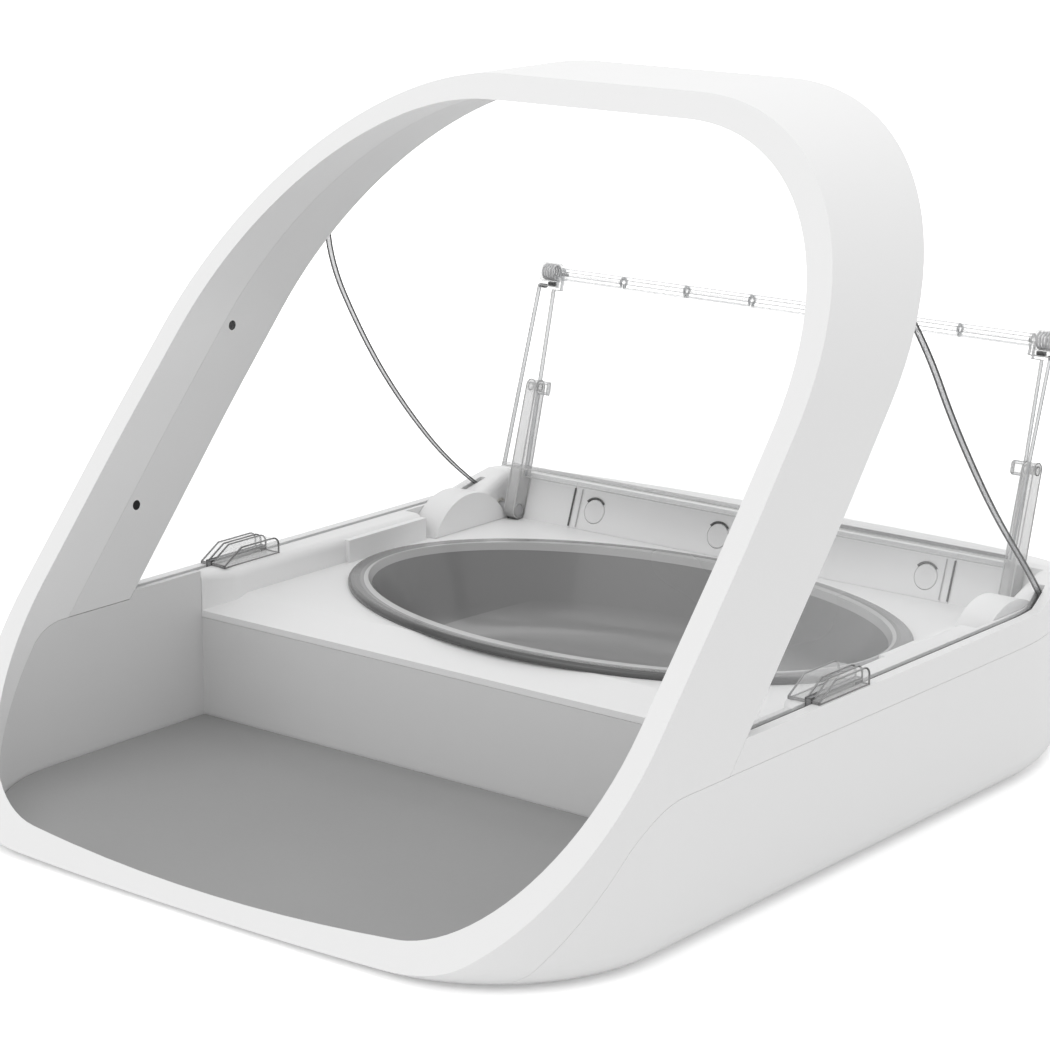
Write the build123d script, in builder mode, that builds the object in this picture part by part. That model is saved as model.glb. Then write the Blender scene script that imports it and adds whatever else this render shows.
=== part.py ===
from build123d import *
import os
from math import cos, pi, radians, sin, tan

os.makedirs("parts", exist_ok=True)

# Frame: +X to the right of someone facing the opening, +Y to the back, +Z up.
# The origin is under the middle of the feeder, on the surface that it stands on.

# ---------------------------------------------------------------- overall form
overall_length = 318.0
overall_width = 230.0
overall_height = 202.0
foot_height = 1.0
front_bow = 6.0
rear_bow = 28.4
front_reach = 3.5
front_corner_radius = 52.0
rear_corner_radius = 90.0
bottom_edge_radius = 6.0

half_width = overall_width / 2
front = -overall_length / 2
back = overall_length / 2
bottom = foot_height
beyond = overall_length  # a length that reaches past the whole feeder

# ---------------------------------------------------------------- walls and gaps
wall = 2.4
floor_wall = 1.4
joint_gap = 0.15
running_gap = 0.05

# ---------------------------------------------------------------- hoop
hoop_slope = 49.3
hoop_depth = 45.0
hoop_band = 7.0
hoop_lean = 3.5
hoop_lean_drop = 102.0
hoop_top_radius = 78.0
hoop_lean_blend = 400.0
hoop_seam_depth = 20.0
lip_depth = 12.0
inner_lip_depth = 10.5
lip_bend_radius = 32.0
face_thickness = 3.4
front_rim_width = 4.2
mouth_reach = hoop_band - front_rim_width
hoop_lean_height = overall_height - hoop_lean_drop

# ---------------------------------------------------------------- base levels
parting_height = 42.0
rail_height = 50.5
tray_wall_height = 48.2
deck_height = 42.2
deck_thickness = 2.0
crest_height = 56.8
crest_setback = 62.0
crest_depth = 7.0
ramp_length = 18.0
back_slope = 14.0

step_distance = 115.7
lip_slope_depth = 13.0
lip_slope_drop = 4.2
lip_edge = 2.0
rail_corner_radius = 5.0
rail_corner_length = 9.0
rail_edge_radius = 3.0
rail_pad_length = 37.3
rail_pad_depth = 1.5
rail_pad_drop = 1.0
ledge_setback = 65.0
ledge_lean = 19.7
ledge_wall = 3.4
step_y = front + step_distance
ledge_y = back - ledge_setback
crest_y = back - crest_setback
crest_end = crest_y + crest_depth
mouth_half_width = half_width - hoop_band

# ---------------------------------------------------------------- layers inside the left rail
# From the outer wall inwards: outer plate, outer gears, near gears, side wall of the deck.
plate_side_gap = 1.1
outer_plate = 1.0
plate_gap = 0.3
outer_gear_width = 3.0
layer_gap = 0.9
gear_width = 3.0
gear_gap = 0.3
plate_face = half_width - wall - plate_side_gap
outer_gear_face = plate_face - outer_plate - plate_gap
gear_face = outer_gear_face - outer_gear_width - layer_gap
deck_half_width = gear_face - gear_width - gear_gap - deck_thickness

# ---------------------------------------------------------------- tray and mat
tray_floor = 1.1
tray_wall = 1.8
mat_thickness = 1.3
mat_gap = 0.5
part_gap = 0.1
tray_base = bottom + floor_wall + part_gap
tray_top = tray_base + tray_floor
mat_base = tray_top + part_gap / 2

# ---------------------------------------------------------------- bowl
bowl_end_gap = 4.5
bowl_front_gap = 9.3
bowl_rear_gap = 6.0
bowl_rim_width = 6.5
bowl_rim_thickness = 2.0
bowl_wall = 2.0
bowl_depth = 27.0
bowl_taper = 14.0
bowl_floor_radius = 15.0
bowl_clearance = 1.2
well_wall = 1.6
bowl_half_length = deck_half_width - bowl_end_gap
bowl_half_depth = (ledge_y - step_y - bowl_front_gap - bowl_rear_gap) / 2
bowl_y = step_y + bowl_front_gap + bowl_half_depth

# ---------------------------------------------------------------- lid drive
# Gears of module 1, named from the lid back to the motor. Their shafts lie along X.
gear_module = 1.0
gear_dedendum = 1.2
gear_addendum = 0.9
gear_tooth_share = 0.36
pressure_angle = 20.0
lid_teeth = 12
drive_teeth = 33
small_teeth = 10
large_teeth = 28
pinion_teeth = 10
drive_setback = 21.0
drive_z = 34.0
lid_gear_direction = 30.0
small_gear_tooth = 17
large_gear_direction = -20.0
cover_radius = 20.0
cover_wall = 1.3
cover_inset = 3.4
cover_gap = 0.7
cover_tail = 9.0
frame_plate = 1.8
frame_front_reach = 34.0
frame_rear_reach = 11.0
outer_plate_front_reach = 32.5
outer_plate_rear_reach = 4.0
outer_plate_lift = 3.5
frame_pillar_radius = 1.5
frame_pillars = ((-28.5, 3.3), (-30.5, -24.5), (2.5, -26.3))
axle_radius = 1.25
drive_axle_radius = 1.5
motor_radius = 10.0
motor_length = 25.0
motor_nose_radius = 3.0
motor_nose_length = 1.5
motor_round = 0.8
motor_shaft_proud = 0.5
motor_shaft_radius = 1.0
shaft_radius = 2.0
shaft_end_gap = 7.0
bush_radius = 3.0
bearing_radius = 3.1

cover_inner_face = deck_half_width - cover_inset
cover_outer_face = gear_face + cover_gap + cover_wall
shaft_end = half_width - shaft_end_gap
drive_y = ledge_y - drive_setback
lid_centres = gear_module * (lid_teeth + drive_teeth) / 2
pivot_y = drive_y + lid_centres * cos(radians(lid_gear_direction))
pivot_z = drive_z + lid_centres * sin(radians(lid_gear_direction))
small_gear_direction = lid_gear_direction + small_gear_tooth * 360 / drive_teeth
small_centres = gear_module * (small_teeth + drive_teeth) / 2
compound_y = drive_y + small_centres * cos(radians(small_gear_direction))
compound_z = drive_z + small_centres * sin(radians(small_gear_direction))
motor_centres = gear_module * (large_teeth + pinion_teeth) / 2
motor_y = compound_y + motor_centres * cos(radians(large_gear_direction))
motor_z = compound_z + motor_centres * sin(radians(large_gear_direction))

# ---------------------------------------------------------------- lid
# The rear panel stands on two arms; the front panel hangs from it, folded down in front.
lid_direction = 76.3
lid_length = 80.2
fold_direction = 251.9
fold_length = 66.1
panel_thickness = 1.8
panel_foot = 11.5
front_panel_shift = 1.5
arm_side_gap = 4.0
arm_thickness = 4.0
arm_foot_radius = 2.9
arm_tip_radius = 2.4
arm_length = 41.6
arm_crank = 1.5
arm_relief = 0.6
stud_radius = 1.3
stud_reach = 4.0
stud_head_radius = 2.0
stud_head_length = 2.6
knuckle_radius = 1.9
knuckle_count = 7
knuckle_gap = 0.5
rod_radius = 0.8
barrel_radius = 4.5
barrel_inset = 3.0
barrel_width = 8.5
barrel_gap = 0.3
barrel_floor = 1.0
barrel_round = 0.8
spring_radius = 2.5
spring_wire = 0.35
spring_turns = 5
seal_height = 1.8
seal_thickness = 0.5

arm_inner_face = deck_half_width - arm_side_gap - arm_thickness
rear_panel_half_width = arm_inner_face - part_gap
front_panel_half_width = arm_inner_face + arm_thickness
barrel_inner_face = arm_inner_face - barrel_inset
barrel_outer_face = barrel_inner_face + barrel_width
fold_y = pivot_y + lid_length * cos(radians(lid_direction))
fold_z = pivot_z + lid_length * sin(radians(lid_direction))
lid_turn = (0, cos(radians(lid_direction)), sin(radians(lid_direction)))
fold_turn = (0, cos(radians(fold_direction)), sin(radians(fold_direction)))
lid_plane = Plane(origin=(0, pivot_y, pivot_z), x_dir=lid_turn, z_dir=(1, 0, 0))
fold_plane = Plane(origin=(0, fold_y, fold_z), x_dir=fold_turn, z_dir=(1, 0, 0))
stud_spot = lid_plane.from_local_coords((arm_length, -arm_crank, 0))

# ---------------------------------------------------------------- side shields and clips
shield_inset = 3.3
shield_thickness = 1.9
shield_foot = 1.2
shield_gap = 0.3
shield_top_drop = 53.0
shield_hollow = 7.0
shield_end_gap = 4.0
shield_end_rise = 1.0
clip_front_gap = 6.6
clip_length = 24.0
clip_ramp = 7.5
clip_inset = 0.9
clip_width = 9.9
clip_height = 5.2
clip_nose = 0.6
clip_wall = 1.2
clip_round = 2.5
shield_top_height = overall_height - shield_top_drop
shield_end_y = ledge_y - shield_end_gap
shield_end_height = rail_height + shield_end_rise
clip_front = step_y + clip_front_gap
clip_rear = clip_front + clip_length

# ---------------------------------------------------------------- controls
button_radius = 4.0
button_height = 6.8
button_proud = 0.3
button_gap = 0.15
button_flange = 1.2
button_flange_width = 1.2
button_round = 0.4
outer_button_inset = 9.4
middle_button = -14.0
panel_inset = 27.6
panel_depth = 1.8
switch_size = 6.0
switch_height = 2.4
plunger_radius = 1.7
plunger_height = 0.8
board_inset = 23.0
board_thickness = 1.6
board_depth = 8.9
board_low = -2.0
board_high = 11.4
board_screw_inset = 23.4
board_screw_height = 3.0
board_screw_radius = 1.0
board_screw_length = 6.1
board_screw_head = 1.2
board_boss_radius = 2.6
chip_size = 11.0
chip_height = 1.4
capacitor_radius = 3.0
capacitor_height = 7.0
capacitor_spread = 27.0
connector_inset = 13.0
connector_length = 12.0
connector_width = 5.0
lid_switch_setback = 10.0
lid_switch_drop = 0.2
lid_switch_width = 6.0
lid_switch_depth = 13.0
lid_switch_height = 6.0
lever_thickness = 0.4
lever_inset = 0.5
lever_reach = 0.8
window_radius = 1.5
window_length = 3.6
window_setback = 24.7
window_drop = 77.4
window_pitch = 48.2
panel_half_width = deck_half_width - panel_inset
outer_button = panel_half_width - outer_button_inset
button_places = (-outer_button, middle_button, outer_button)
board_half_width = deck_half_width - board_inset
board_screw_place = panel_half_width - board_screw_inset
board_middle = (board_low + board_high) / 2
window_heights = (overall_height - window_drop, overall_height - window_drop - window_pitch)

# ---------------------------------------------------------------- batteries
cell_radius = 13.1
cell_length = 50.0
cell_pitch = 27.4
cell_clearance = 0.8
bay_setback = 72.6
bay_length = 53.8
bay_wall = 1.5
bay_middle_wall = 1.5
bay_width = 55.2
door_thickness = 2.0
door_gap = 0.25
door_inset = 0.5
door_setback = 0.8
hinge_pin_radius = 0.7
hinge_pin_reach = 0.8
grip_half_width = 9.0
grip_setback = 2.5
grip_depth = 3.5
grip_wall = 1.1
cell_nub_radius = 3.0
cell_nub_length = 1.5
contact_size = 12.0
contact_thickness = 1.0
door_z = bottom + door_thickness / 2
cell_z = bottom + door_thickness + cell_clearance + cell_radius
bay_y = back - bay_setback
bay_outer = bay_middle_wall / 2 + bay_width
bay_roof = cell_z + cell_radius + cell_clearance

# ---------------------------------------------------------------- feet and screws
foot_radius = 8.0
foot_recess = 0.6
foot_side = 33.0
front_foot_distance = 48.0
rear_foot_setback = 50.0
post_radius = 4.6
post_height = 36.0
post_seat = 4.0
front_post_side = 17.0
front_post_reach = 34.3
rear_post_gap = 16.0
rear_post_setback = 38.0
screw_radius = 1.4
screw_head_radius = 2.8
screw_head_height = 1.8
screw_slot_radius = 1.1
screw_slot_depth = 1.0
screw_length = 9.0
screw_thread = 5.2
boss_radius = 4.0
head_seat = post_height - post_seat
foot_x = half_width - foot_side
front_foot = (foot_x, front + front_foot_distance)
rear_foot = (foot_x, back - rear_foot_setback)
front_post = (half_width - front_post_side, step_y + front_post_reach)
rear_post = (bay_outer + rear_post_gap, back - rear_post_setback)
foot_places = [(side * x, y) for side in (-1, 1) for x, y in (front_foot, rear_foot)]
post_places = [(side * x, y) for side in (-1, 1) for x, y in (front_post, rear_post)]


def brick(low, high, mode=Mode.ADD):
    """A box between two corners, made in the part being built."""
    middle = tuple((a + b) / 2 for a, b in zip(low, high))
    size = [abs(b - a) for a, b in zip(low, high)]
    with Locations(middle):
        Box(*size, mode=mode)


def rod(x_start, x_end, y, z, radius, mode=Mode.ADD):
    """A round bar along X, made in the part being built."""
    with Locations(Location(((x_start + x_end) / 2, y, z), (0, 90, 0))):
        Cylinder(radius, abs(x_end - x_start), mode=mode)


def post(x, y, low, high, radius, mode=Mode.ADD):
    """An upright round bar, made in the part being built."""
    with Locations((x, y, (low + high) / 2)):
        Cylinder(radius, high - low, mode=mode)


def slant(height, behind=0.0):
    """Y of the sloping front face at a height, or of a plane some way behind it."""
    return front + (height - bottom) / tan(radians(hoop_slope)) + behind


def footprint(height, inset=0.0, reach=front_reach):
    """Plan outline of the feeder at a height, set in by a wall; reach moves its front edge out."""
    side = half_width - inset
    nose_y = front + inset - reach
    tail_y = back - inset
    with BuildSketch(Plane.XY.offset(height)) as plan:
        with BuildLine():
            nose = ThreePointArc((-side, nose_y + front_bow), (0, nose_y), (side, nose_y + front_bow))
            tail = ThreePointArc((side, tail_y - rear_bow), (0, tail_y), (-side, tail_y - rear_bow))
            Line(nose @ 1, tail @ 0)
            Line(tail @ 1, nose @ 0)
        make_face()
        fillet(vertices().group_by(Axis.Y)[-1], rear_corner_radius - inset)
        fillet(vertices().group_by(Axis.Y)[0], front_corner_radius - inset)
    return plan.sketch


def arch(inset=0.0):
    """Front view of the hoop: sides that lean in a little and large round top corners."""
    side = half_width - inset
    top = overall_height - inset
    with BuildSketch(Plane.XZ) as view:
        with BuildLine():
            Polyline(
                (-side, -overall_height),
                (-side, hoop_lean_height),
                (hoop_lean - side, top),
                (side - hoop_lean, top),
                (side, hoop_lean_height),
                (side, -overall_height),
                close=True,
            )
        make_face()
        fillet(vertices().group_by(Axis.Y)[-1], hoop_top_radius - inset)
        fillet(vertices().group_by(Axis.Y)[1], hoop_lean_blend)
    return view.sketch


def lean_at(height):
    """How far the hoop's sides have come in at a height."""
    return hoop_lean * max(0.0, height - hoop_lean_height) / hoop_lean_drop


def body_form(floor, inset=0.0, reach=front_reach, edge_radius=0.0):
    """The whole outer form of the feeder above a floor, set in by a wall."""
    with BuildPart() as form:
        extrude(footprint(floor, inset, reach), amount=overall_height)
        if edge_radius:
            fillet(edges().group_by(Axis.Z)[0], edge_radius)
        extrude(arch(inset), amount=beyond, both=True, mode=Mode.INTERSECT)
    return form.part


def back_height(y):
    """Height of the sloping back at a place behind the crest."""
    return crest_height - (y - crest_end) * tan(radians(back_slope))


def base_side(drop=0.0):
    """Side view of the base: level rails, a rise to the rear crest and a sloping back."""
    slope_end = back + crest_depth
    slope_height = back_height(slope_end)
    with BuildSketch(Plane.YZ) as side:
        with BuildLine():
            Polyline(
                (front - beyond, -overall_height),
                (front - beyond, rail_height - drop),
                (crest_y - ramp_length, rail_height - drop),
                (crest_y, crest_height - drop),
                (crest_end, crest_height - drop),
                (slope_end, slope_height - drop),
                (slope_end, -overall_height),
                close=True,
            )
        make_face()
        fillet(vertices().sort_by_distance((crest_end, crest_height - drop))[0], crest_depth)
    return side.sketch


def base_form(floor, height, inset=0.0, reach=front_reach, edge_radius=0.0, drop=0.0):
    """The form of the base alone, from a floor up to its rails, crest and back."""
    with BuildPart() as form:
        extrude(footprint(floor, inset, reach), amount=height)
        if edge_radius:
            fillet(edges().group_by(Axis.Z)[0], edge_radius)
        extrude(base_side(drop), amount=beyond, both=True, mode=Mode.INTERSECT)
    return form.part


def slanted_band(near, far, low, high):
    """Side view of what lies between two planes parallel to the front face."""
    with BuildSketch(Plane.YZ) as side:
        with BuildLine():
            Polyline(
                (slant(low, near), low),
                (slant(high, near), high),
                (slant(high, far), high),
                (slant(low, far), low),
                close=True,
            )
        make_face()
    return side.sketch


def stepped_band(depth, lip, split_height, bend, grow=0.0):
    """Side view of a band that is deep above a height and only a lip below it."""
    low = -overall_height
    high = 2 * overall_height
    with BuildSketch(Plane.YZ) as side:
        with BuildLine():
            Polyline(
                (slant(low, -beyond), low),
                (slant(high, -beyond), high),
                (slant(high, depth + grow), high),
                (slant(split_height, depth + grow), split_height - grow),
                (slant(split_height - grow, lip + grow), split_height - grow),
                (slant(low, lip + grow), low),
                close=True,
            )
        make_face()
        corner = vertices().sort_by_distance((slant(split_height, lip + grow), split_height))[0]
        fillet(corner, bend)
    return side.sketch


inner_edge_radius = bottom_edge_radius - floor_wall
skin = body_form(bottom, edge_radius=bottom_edge_radius)
inside = body_form(bottom + floor_wall, wall, edge_radius=inner_edge_radius)
mouth = body_form(bottom + floor_wall, hoop_band, mouth_reach)
inner_wall_core = body_form(bottom + floor_wall, hoop_band - wall, mouth_reach)

# The hollow of the hoop: everything inside the outer wall, less the front face
# and less the front half of the inner wall, which are moulded in one with it.
with BuildPart() as inner_front_wall:
    add(inner_wall_core)
    front_half = stepped_band(hoop_seam_depth, inner_lip_depth, tray_wall_height, lip_bend_radius / 2)
    extrude(front_half, amount=beyond, both=True, mode=Mode.INTERSECT)

with BuildPart() as hoop_hollow:
    add(inside)
    face = slanted_band(-beyond, face_thickness, -overall_height, 2 * overall_height)
    extrude(face, amount=beyond, both=True, mode=Mode.SUBTRACT)
    add(inner_front_wall.part, mode=Mode.SUBTRACT)

with BuildPart() as hoop_shell:
    add(skin)
    ahead = slanted_band(0, 2 * beyond, -overall_height, 2 * overall_height)
    extrude(ahead, amount=beyond, both=True, mode=Mode.INTERSECT)
    shell_side = stepped_band(hoop_depth, lip_depth, parting_height, lip_bend_radius)
    extrude(shell_side, amount=beyond, both=True, mode=Mode.INTERSECT)
    add(hoop_hollow.part, mode=Mode.SUBTRACT)
    add(mouth, mode=Mode.SUBTRACT)
hoop_shell.part.label = "hoop_shell"
export_step(hoop_shell.part, "parts/hoop_shell.step")

# The liner of the hoop: the rear half of the inner wall and the strip that closes the rear edge.
liner_low = tray_wall_height + part_gap
with BuildPart() as liner_wall:
    add(inner_wall_core)
    rear_half = slanted_band(hoop_seam_depth + part_gap, hoop_depth, liner_low, beyond)
    extrude(rear_half, amount=beyond, both=True, mode=Mode.INTERSECT)

with BuildPart() as hoop_liner:
    add(body_form(rail_height + part_gap, wall + part_gap))
    rear_edge = slanted_band(hoop_depth - wall, hoop_depth, rail_height + part_gap, beyond)
    extrude(rear_edge, amount=beyond, both=True, mode=Mode.INTERSECT)
    add(liner_wall.part)
    add(mouth, mode=Mode.SUBTRACT)
    for side in (-1, 1):
        for height in window_heights:
            face = side * (mouth_half_width - lean_at(height))
            y = slant(height, window_setback)
            rod(face - side, face + side * (wall + 1), y, height, window_radius, Mode.SUBTRACT)
hoop_liner.part.label = "hoop_liner"
export_step(hoop_liner.part, "parts/hoop_liner.step")

# Round black windows of the light beams that see an animal's head, two on each side.
with BuildPart() as sensor_windows:
    for side in (-1, 1):
        for height in window_heights:
            face = side * (mouth_half_width - lean_at(height))
            rod(face, face + side * window_length, slant(height, window_setback), height, window_radius)
sensor_windows.part.label = "sensor_windows"
export_step(sensor_windows.part, "parts/sensor_windows.step")

# The aerial: a flat arch of wire wound on a former, inside the front of the hoop.
coil_gap = 0.4
coil_width = 5.0
coil_low = 12.0
coil_outer = wall + coil_gap
coil_inner = hoop_band - wall - coil_gap
coil_front = face_thickness + 3 * coil_gap
with BuildPart() as antenna_coil:
    add(body_form(coil_low, coil_outer))
    add(body_form(coil_low - 1, coil_inner, mouth_reach), mode=Mode.SUBTRACT)
    band = slanted_band(coil_front, coil_front + coil_width, coil_low, beyond)
    extrude(band, amount=beyond, both=True, mode=Mode.INTERSECT)
antenna_coil.part.label = "antenna_coil"
export_step(antenna_coil.part, "parts/antenna_coil.step")

# ---------------------------------------------------------------- lower housing
door_inner = bay_middle_wall / 2 + door_gap + door_inset
door_outer = bay_outer - door_gap - door_inset
door_front = bay_y + door_setback
door_rear = bay_y + bay_length - door_setback
hinge_y = door_front + door_thickness / 2
hinge_hole_end = bay_outer + bay_wall

base_hollow = base_form(bottom + floor_wall, parting_height, wall, edge_radius=inner_edge_radius)
with BuildPart() as lower_housing:
    add(base_form(bottom, parting_height - bottom, edge_radius=bottom_edge_radius))
    lip = stepped_band(hoop_depth, lip_depth, parting_height, lip_bend_radius, part_gap)
    extrude(lip, amount=beyond, both=True, mode=Mode.SUBTRACT)
    add(base_hollow, mode=Mode.SUBTRACT)
    brick(
        (-bay_outer - bay_wall, bay_y - bay_wall, bottom + floor_wall / 2),
        (bay_outer + bay_wall, bay_y + bay_length + bay_wall, bay_roof + bay_wall),
    )
    for x, y in post_places:
        post(x, y, bottom + floor_wall / 2, post_height, post_radius)
    for side in (-1, 1):
        brick(
            (side * bay_middle_wall / 2, bay_y, bottom + floor_wall),
            (side * bay_outer, bay_y + bay_length, bay_roof),
            Mode.SUBTRACT,
        )
        brick(
            (side * (door_inner - door_gap), door_front - door_gap, bottom - 1),
            (side * (door_outer + door_gap), door_rear + door_gap, bottom + floor_wall + 1),
            Mode.SUBTRACT,
        )
    rod(-hinge_hole_end, hinge_hole_end, hinge_y, door_z, hinge_pin_radius + running_gap, Mode.SUBTRACT)
    for x, y in post_places:
        post(x, y, bottom - 1, head_seat, screw_head_radius + 2 * joint_gap, Mode.SUBTRACT)
        post(x, y, head_seat - 1, post_height + 1, screw_radius + joint_gap, Mode.SUBTRACT)
    for x, y in foot_places:
        post(x, y, bottom - 1, bottom + foot_recess, foot_radius, Mode.SUBTRACT)
lower_housing.part.label = "lower_housing"
export_step(lower_housing.part, "parts/lower_housing.step")

# Soft feet, glued into shallow round recesses.
with BuildPart() as rubber_feet:
    for x, y in foot_places:
        post(x, y, 0, bottom + foot_recess, foot_radius)
    fillet(edges().filter_by(GeomType.CIRCLE).group_by(Axis.Z)[0], foot_recess)
rubber_feet.part.label = "rubber_feet"
export_step(rubber_feet.part, "parts/rubber_feet.step")

# ---------------------------------------------------------------- tray in front of the bowl
tray_inset = hoop_band - tray_wall
with BuildPart() as mat_tray:
    add(body_form(tray_base, tray_inset, mouth_reach, tray_wall))
    add(body_form(tray_top, hoop_band, mouth_reach), mode=Mode.SUBTRACT)
    upper = stepped_band(hoop_depth, inner_lip_depth, tray_wall_height, lip_bend_radius / 2, part_gap)
    extrude(upper, amount=beyond, both=True, mode=Mode.SUBTRACT)
    extrude(footprint(tray_base, hoop_band + part_gap, mouth_reach), amount=tray_floor)
    brick(
        (-mouth_half_width, step_y, tray_base),
        (mouth_half_width, step_y + tray_wall, deck_height - lip_slope_drop - lip_edge - part_gap),
    )
    brick((-half_width, step_y + tray_wall, 0), (half_width, back + 1, overall_height), Mode.SUBTRACT)
    brick((-half_width, front, rail_height), (half_width, back, overall_height), Mode.SUBTRACT)
    lip_low = deck_height - lip_slope_drop - lip_edge - part_gap
    brick((-half_width, step_y - part_gap, lip_low), (half_width, back, overall_height), Mode.SUBTRACT)
mat_tray.part.label = "mat_tray"
export_step(mat_tray.part, "parts/mat_tray.step")

with BuildPart() as mat:
    extrude(footprint(mat_base, hoop_band + mat_gap, mouth_reach), amount=mat_thickness)
    brick((-half_width, step_y - mat_gap, 0), (half_width, back + 1, deck_height), Mode.SUBTRACT)
mat.part.label = "mat"
export_step(mat.part, "parts/mat.step")

# ---------------------------------------------------------------- deck round the bowl
ledge = Plane(
    origin=(0, ledge_y, deck_height),
    x_dir=(1, 0, 0),
    z_dir=(0, -cos(radians(ledge_lean)), sin(radians(ledge_lean))),
)


def basin_side(under=0.0, behind=0.0):
    """Side view of the space over the deck, or of that space grown by a wall."""
    top = 2 * crest_height
    low = deck_height - under
    slope = tan(radians(ledge_lean))
    with BuildSketch(Plane.YZ) as side:
        with BuildLine():
            Polyline(
                (step_y - beyond, top),
                (step_y - beyond, low - lip_slope_drop),
                (step_y, low - lip_slope_drop),
                (step_y + lip_slope_depth, low),
                (ledge_y + behind - under * slope, low),
                (ledge_y + behind + (top - deck_height) * slope, top),
                close=True,
            )
        make_face()
    return side.sketch


def basin_plan(grow=0.0):
    """Plan of the space over the deck: as wide as the tray in front, narrower between the rails."""
    wide = mouth_half_width + grow
    narrow = deck_half_width + grow
    with BuildSketch() as plan:
        with BuildLine():
            Polyline(
                (-wide, step_y - beyond),
                (-wide, step_y),
                (-narrow, step_y + rail_corner_length),
                (-narrow, back),
                (narrow, back),
                (narrow, step_y + rail_corner_length),
                (wide, step_y),
                (wide, step_y - beyond),
                close=True,
            )
        make_face()
        corners = vertices().filter_by_position(Axis.Y, step_y - 1, step_y + rail_corner_length + 1)
        fillet(corners, rail_corner_radius)
    return plan.sketch


def oval(height, half_length, half_depth):
    """An ellipse centred on the bowl."""
    with BuildSketch(Plane.XY.offset(height)) as shape:
        with Locations((0, bowl_y)):
            Ellipse(half_length, half_depth)
    return shape.sketch


with BuildPart() as basin:
    extrude(basin_plan(), amount=beyond)
    extrude(basin_side(), amount=beyond, both=True, mode=Mode.INTERSECT)

with BuildPart() as basin_block:
    extrude(basin_plan(deck_thickness), amount=beyond)
    extrude(basin_side(lip_edge, ledge_wall), amount=beyond, both=True, mode=Mode.INTERSECT)
    extrude(base_side(), amount=beyond, both=True, mode=Mode.INTERSECT)
    brick((-half_width, front - beyond, 0), (half_width, step_y, overall_height), Mode.SUBTRACT)

rim_inner_length = bowl_half_length - bowl_rim_width
rim_inner_depth = bowl_half_depth - bowl_rim_width
well_length = rim_inner_length + bowl_wall + bowl_clearance
well_depth = rim_inner_depth + bowl_wall + bowl_clearance
bowl_base = deck_height - bowl_depth
well_base = bowl_base - bowl_clearance
well_foot_length = well_length + well_wall - bowl_taper
well_foot_depth = well_depth + well_wall - bowl_taper

top_low = parting_height + part_gap
top_form = base_form(top_low, crest_height)
top_hollow = base_form(top_low - 1, crest_height, wall, drop=wall)
cover_front = drive_y - cover_radius - cover_gap
cover_rear = drive_y + cover_tail
cover_cut = cover_outer_face + joint_gap
pad_inner = deck_half_width - rail_pad_depth
pad_high = rail_height - rail_pad_drop
bush_face = deck_half_width + deck_thickness + 2 * part_gap
boss_depth = ledge_wall * 0.8


def arm_form(side, grow=0.0):
    """Tapered bar from the lid's shaft up to its stud, or the space that it needs."""
    face = arm_inner_face - grow if side > 0 else -arm_inner_face - arm_thickness - grow
    with BuildPart() as bar:
        with BuildSketch(lid_plane.offset(face)):
            Circle(arm_foot_radius + grow)
            with Locations((arm_length, -arm_crank)):
                Circle(arm_tip_radius + grow)
            make_hull()
        extrude(amount=arm_thickness + 2 * grow)
    return bar.part


# The grooves in which the feet of the side shields stand.
groove_low = rail_height - shield_foot
with BuildPart() as shield_grooves:
    add(body_form(groove_low, shield_inset - part_gap))
    add(body_form(groove_low - 1, shield_inset + shield_thickness + part_gap), mode=Mode.SUBTRACT)
    brick((-half_width, shield_end_y + 1, 0), (half_width, back + 1, overall_height), Mode.SUBTRACT)

# Round bosses on the outer walls, in which the ends of the lid's shafts turn.
with BuildPart() as shaft_bearings:
    for side in (-1, 1):
        rod(side * (shaft_end - cover_gap), side * half_width, pivot_y, pivot_z, bearing_radius)
    add(top_form, mode=Mode.INTERSECT)

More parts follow.
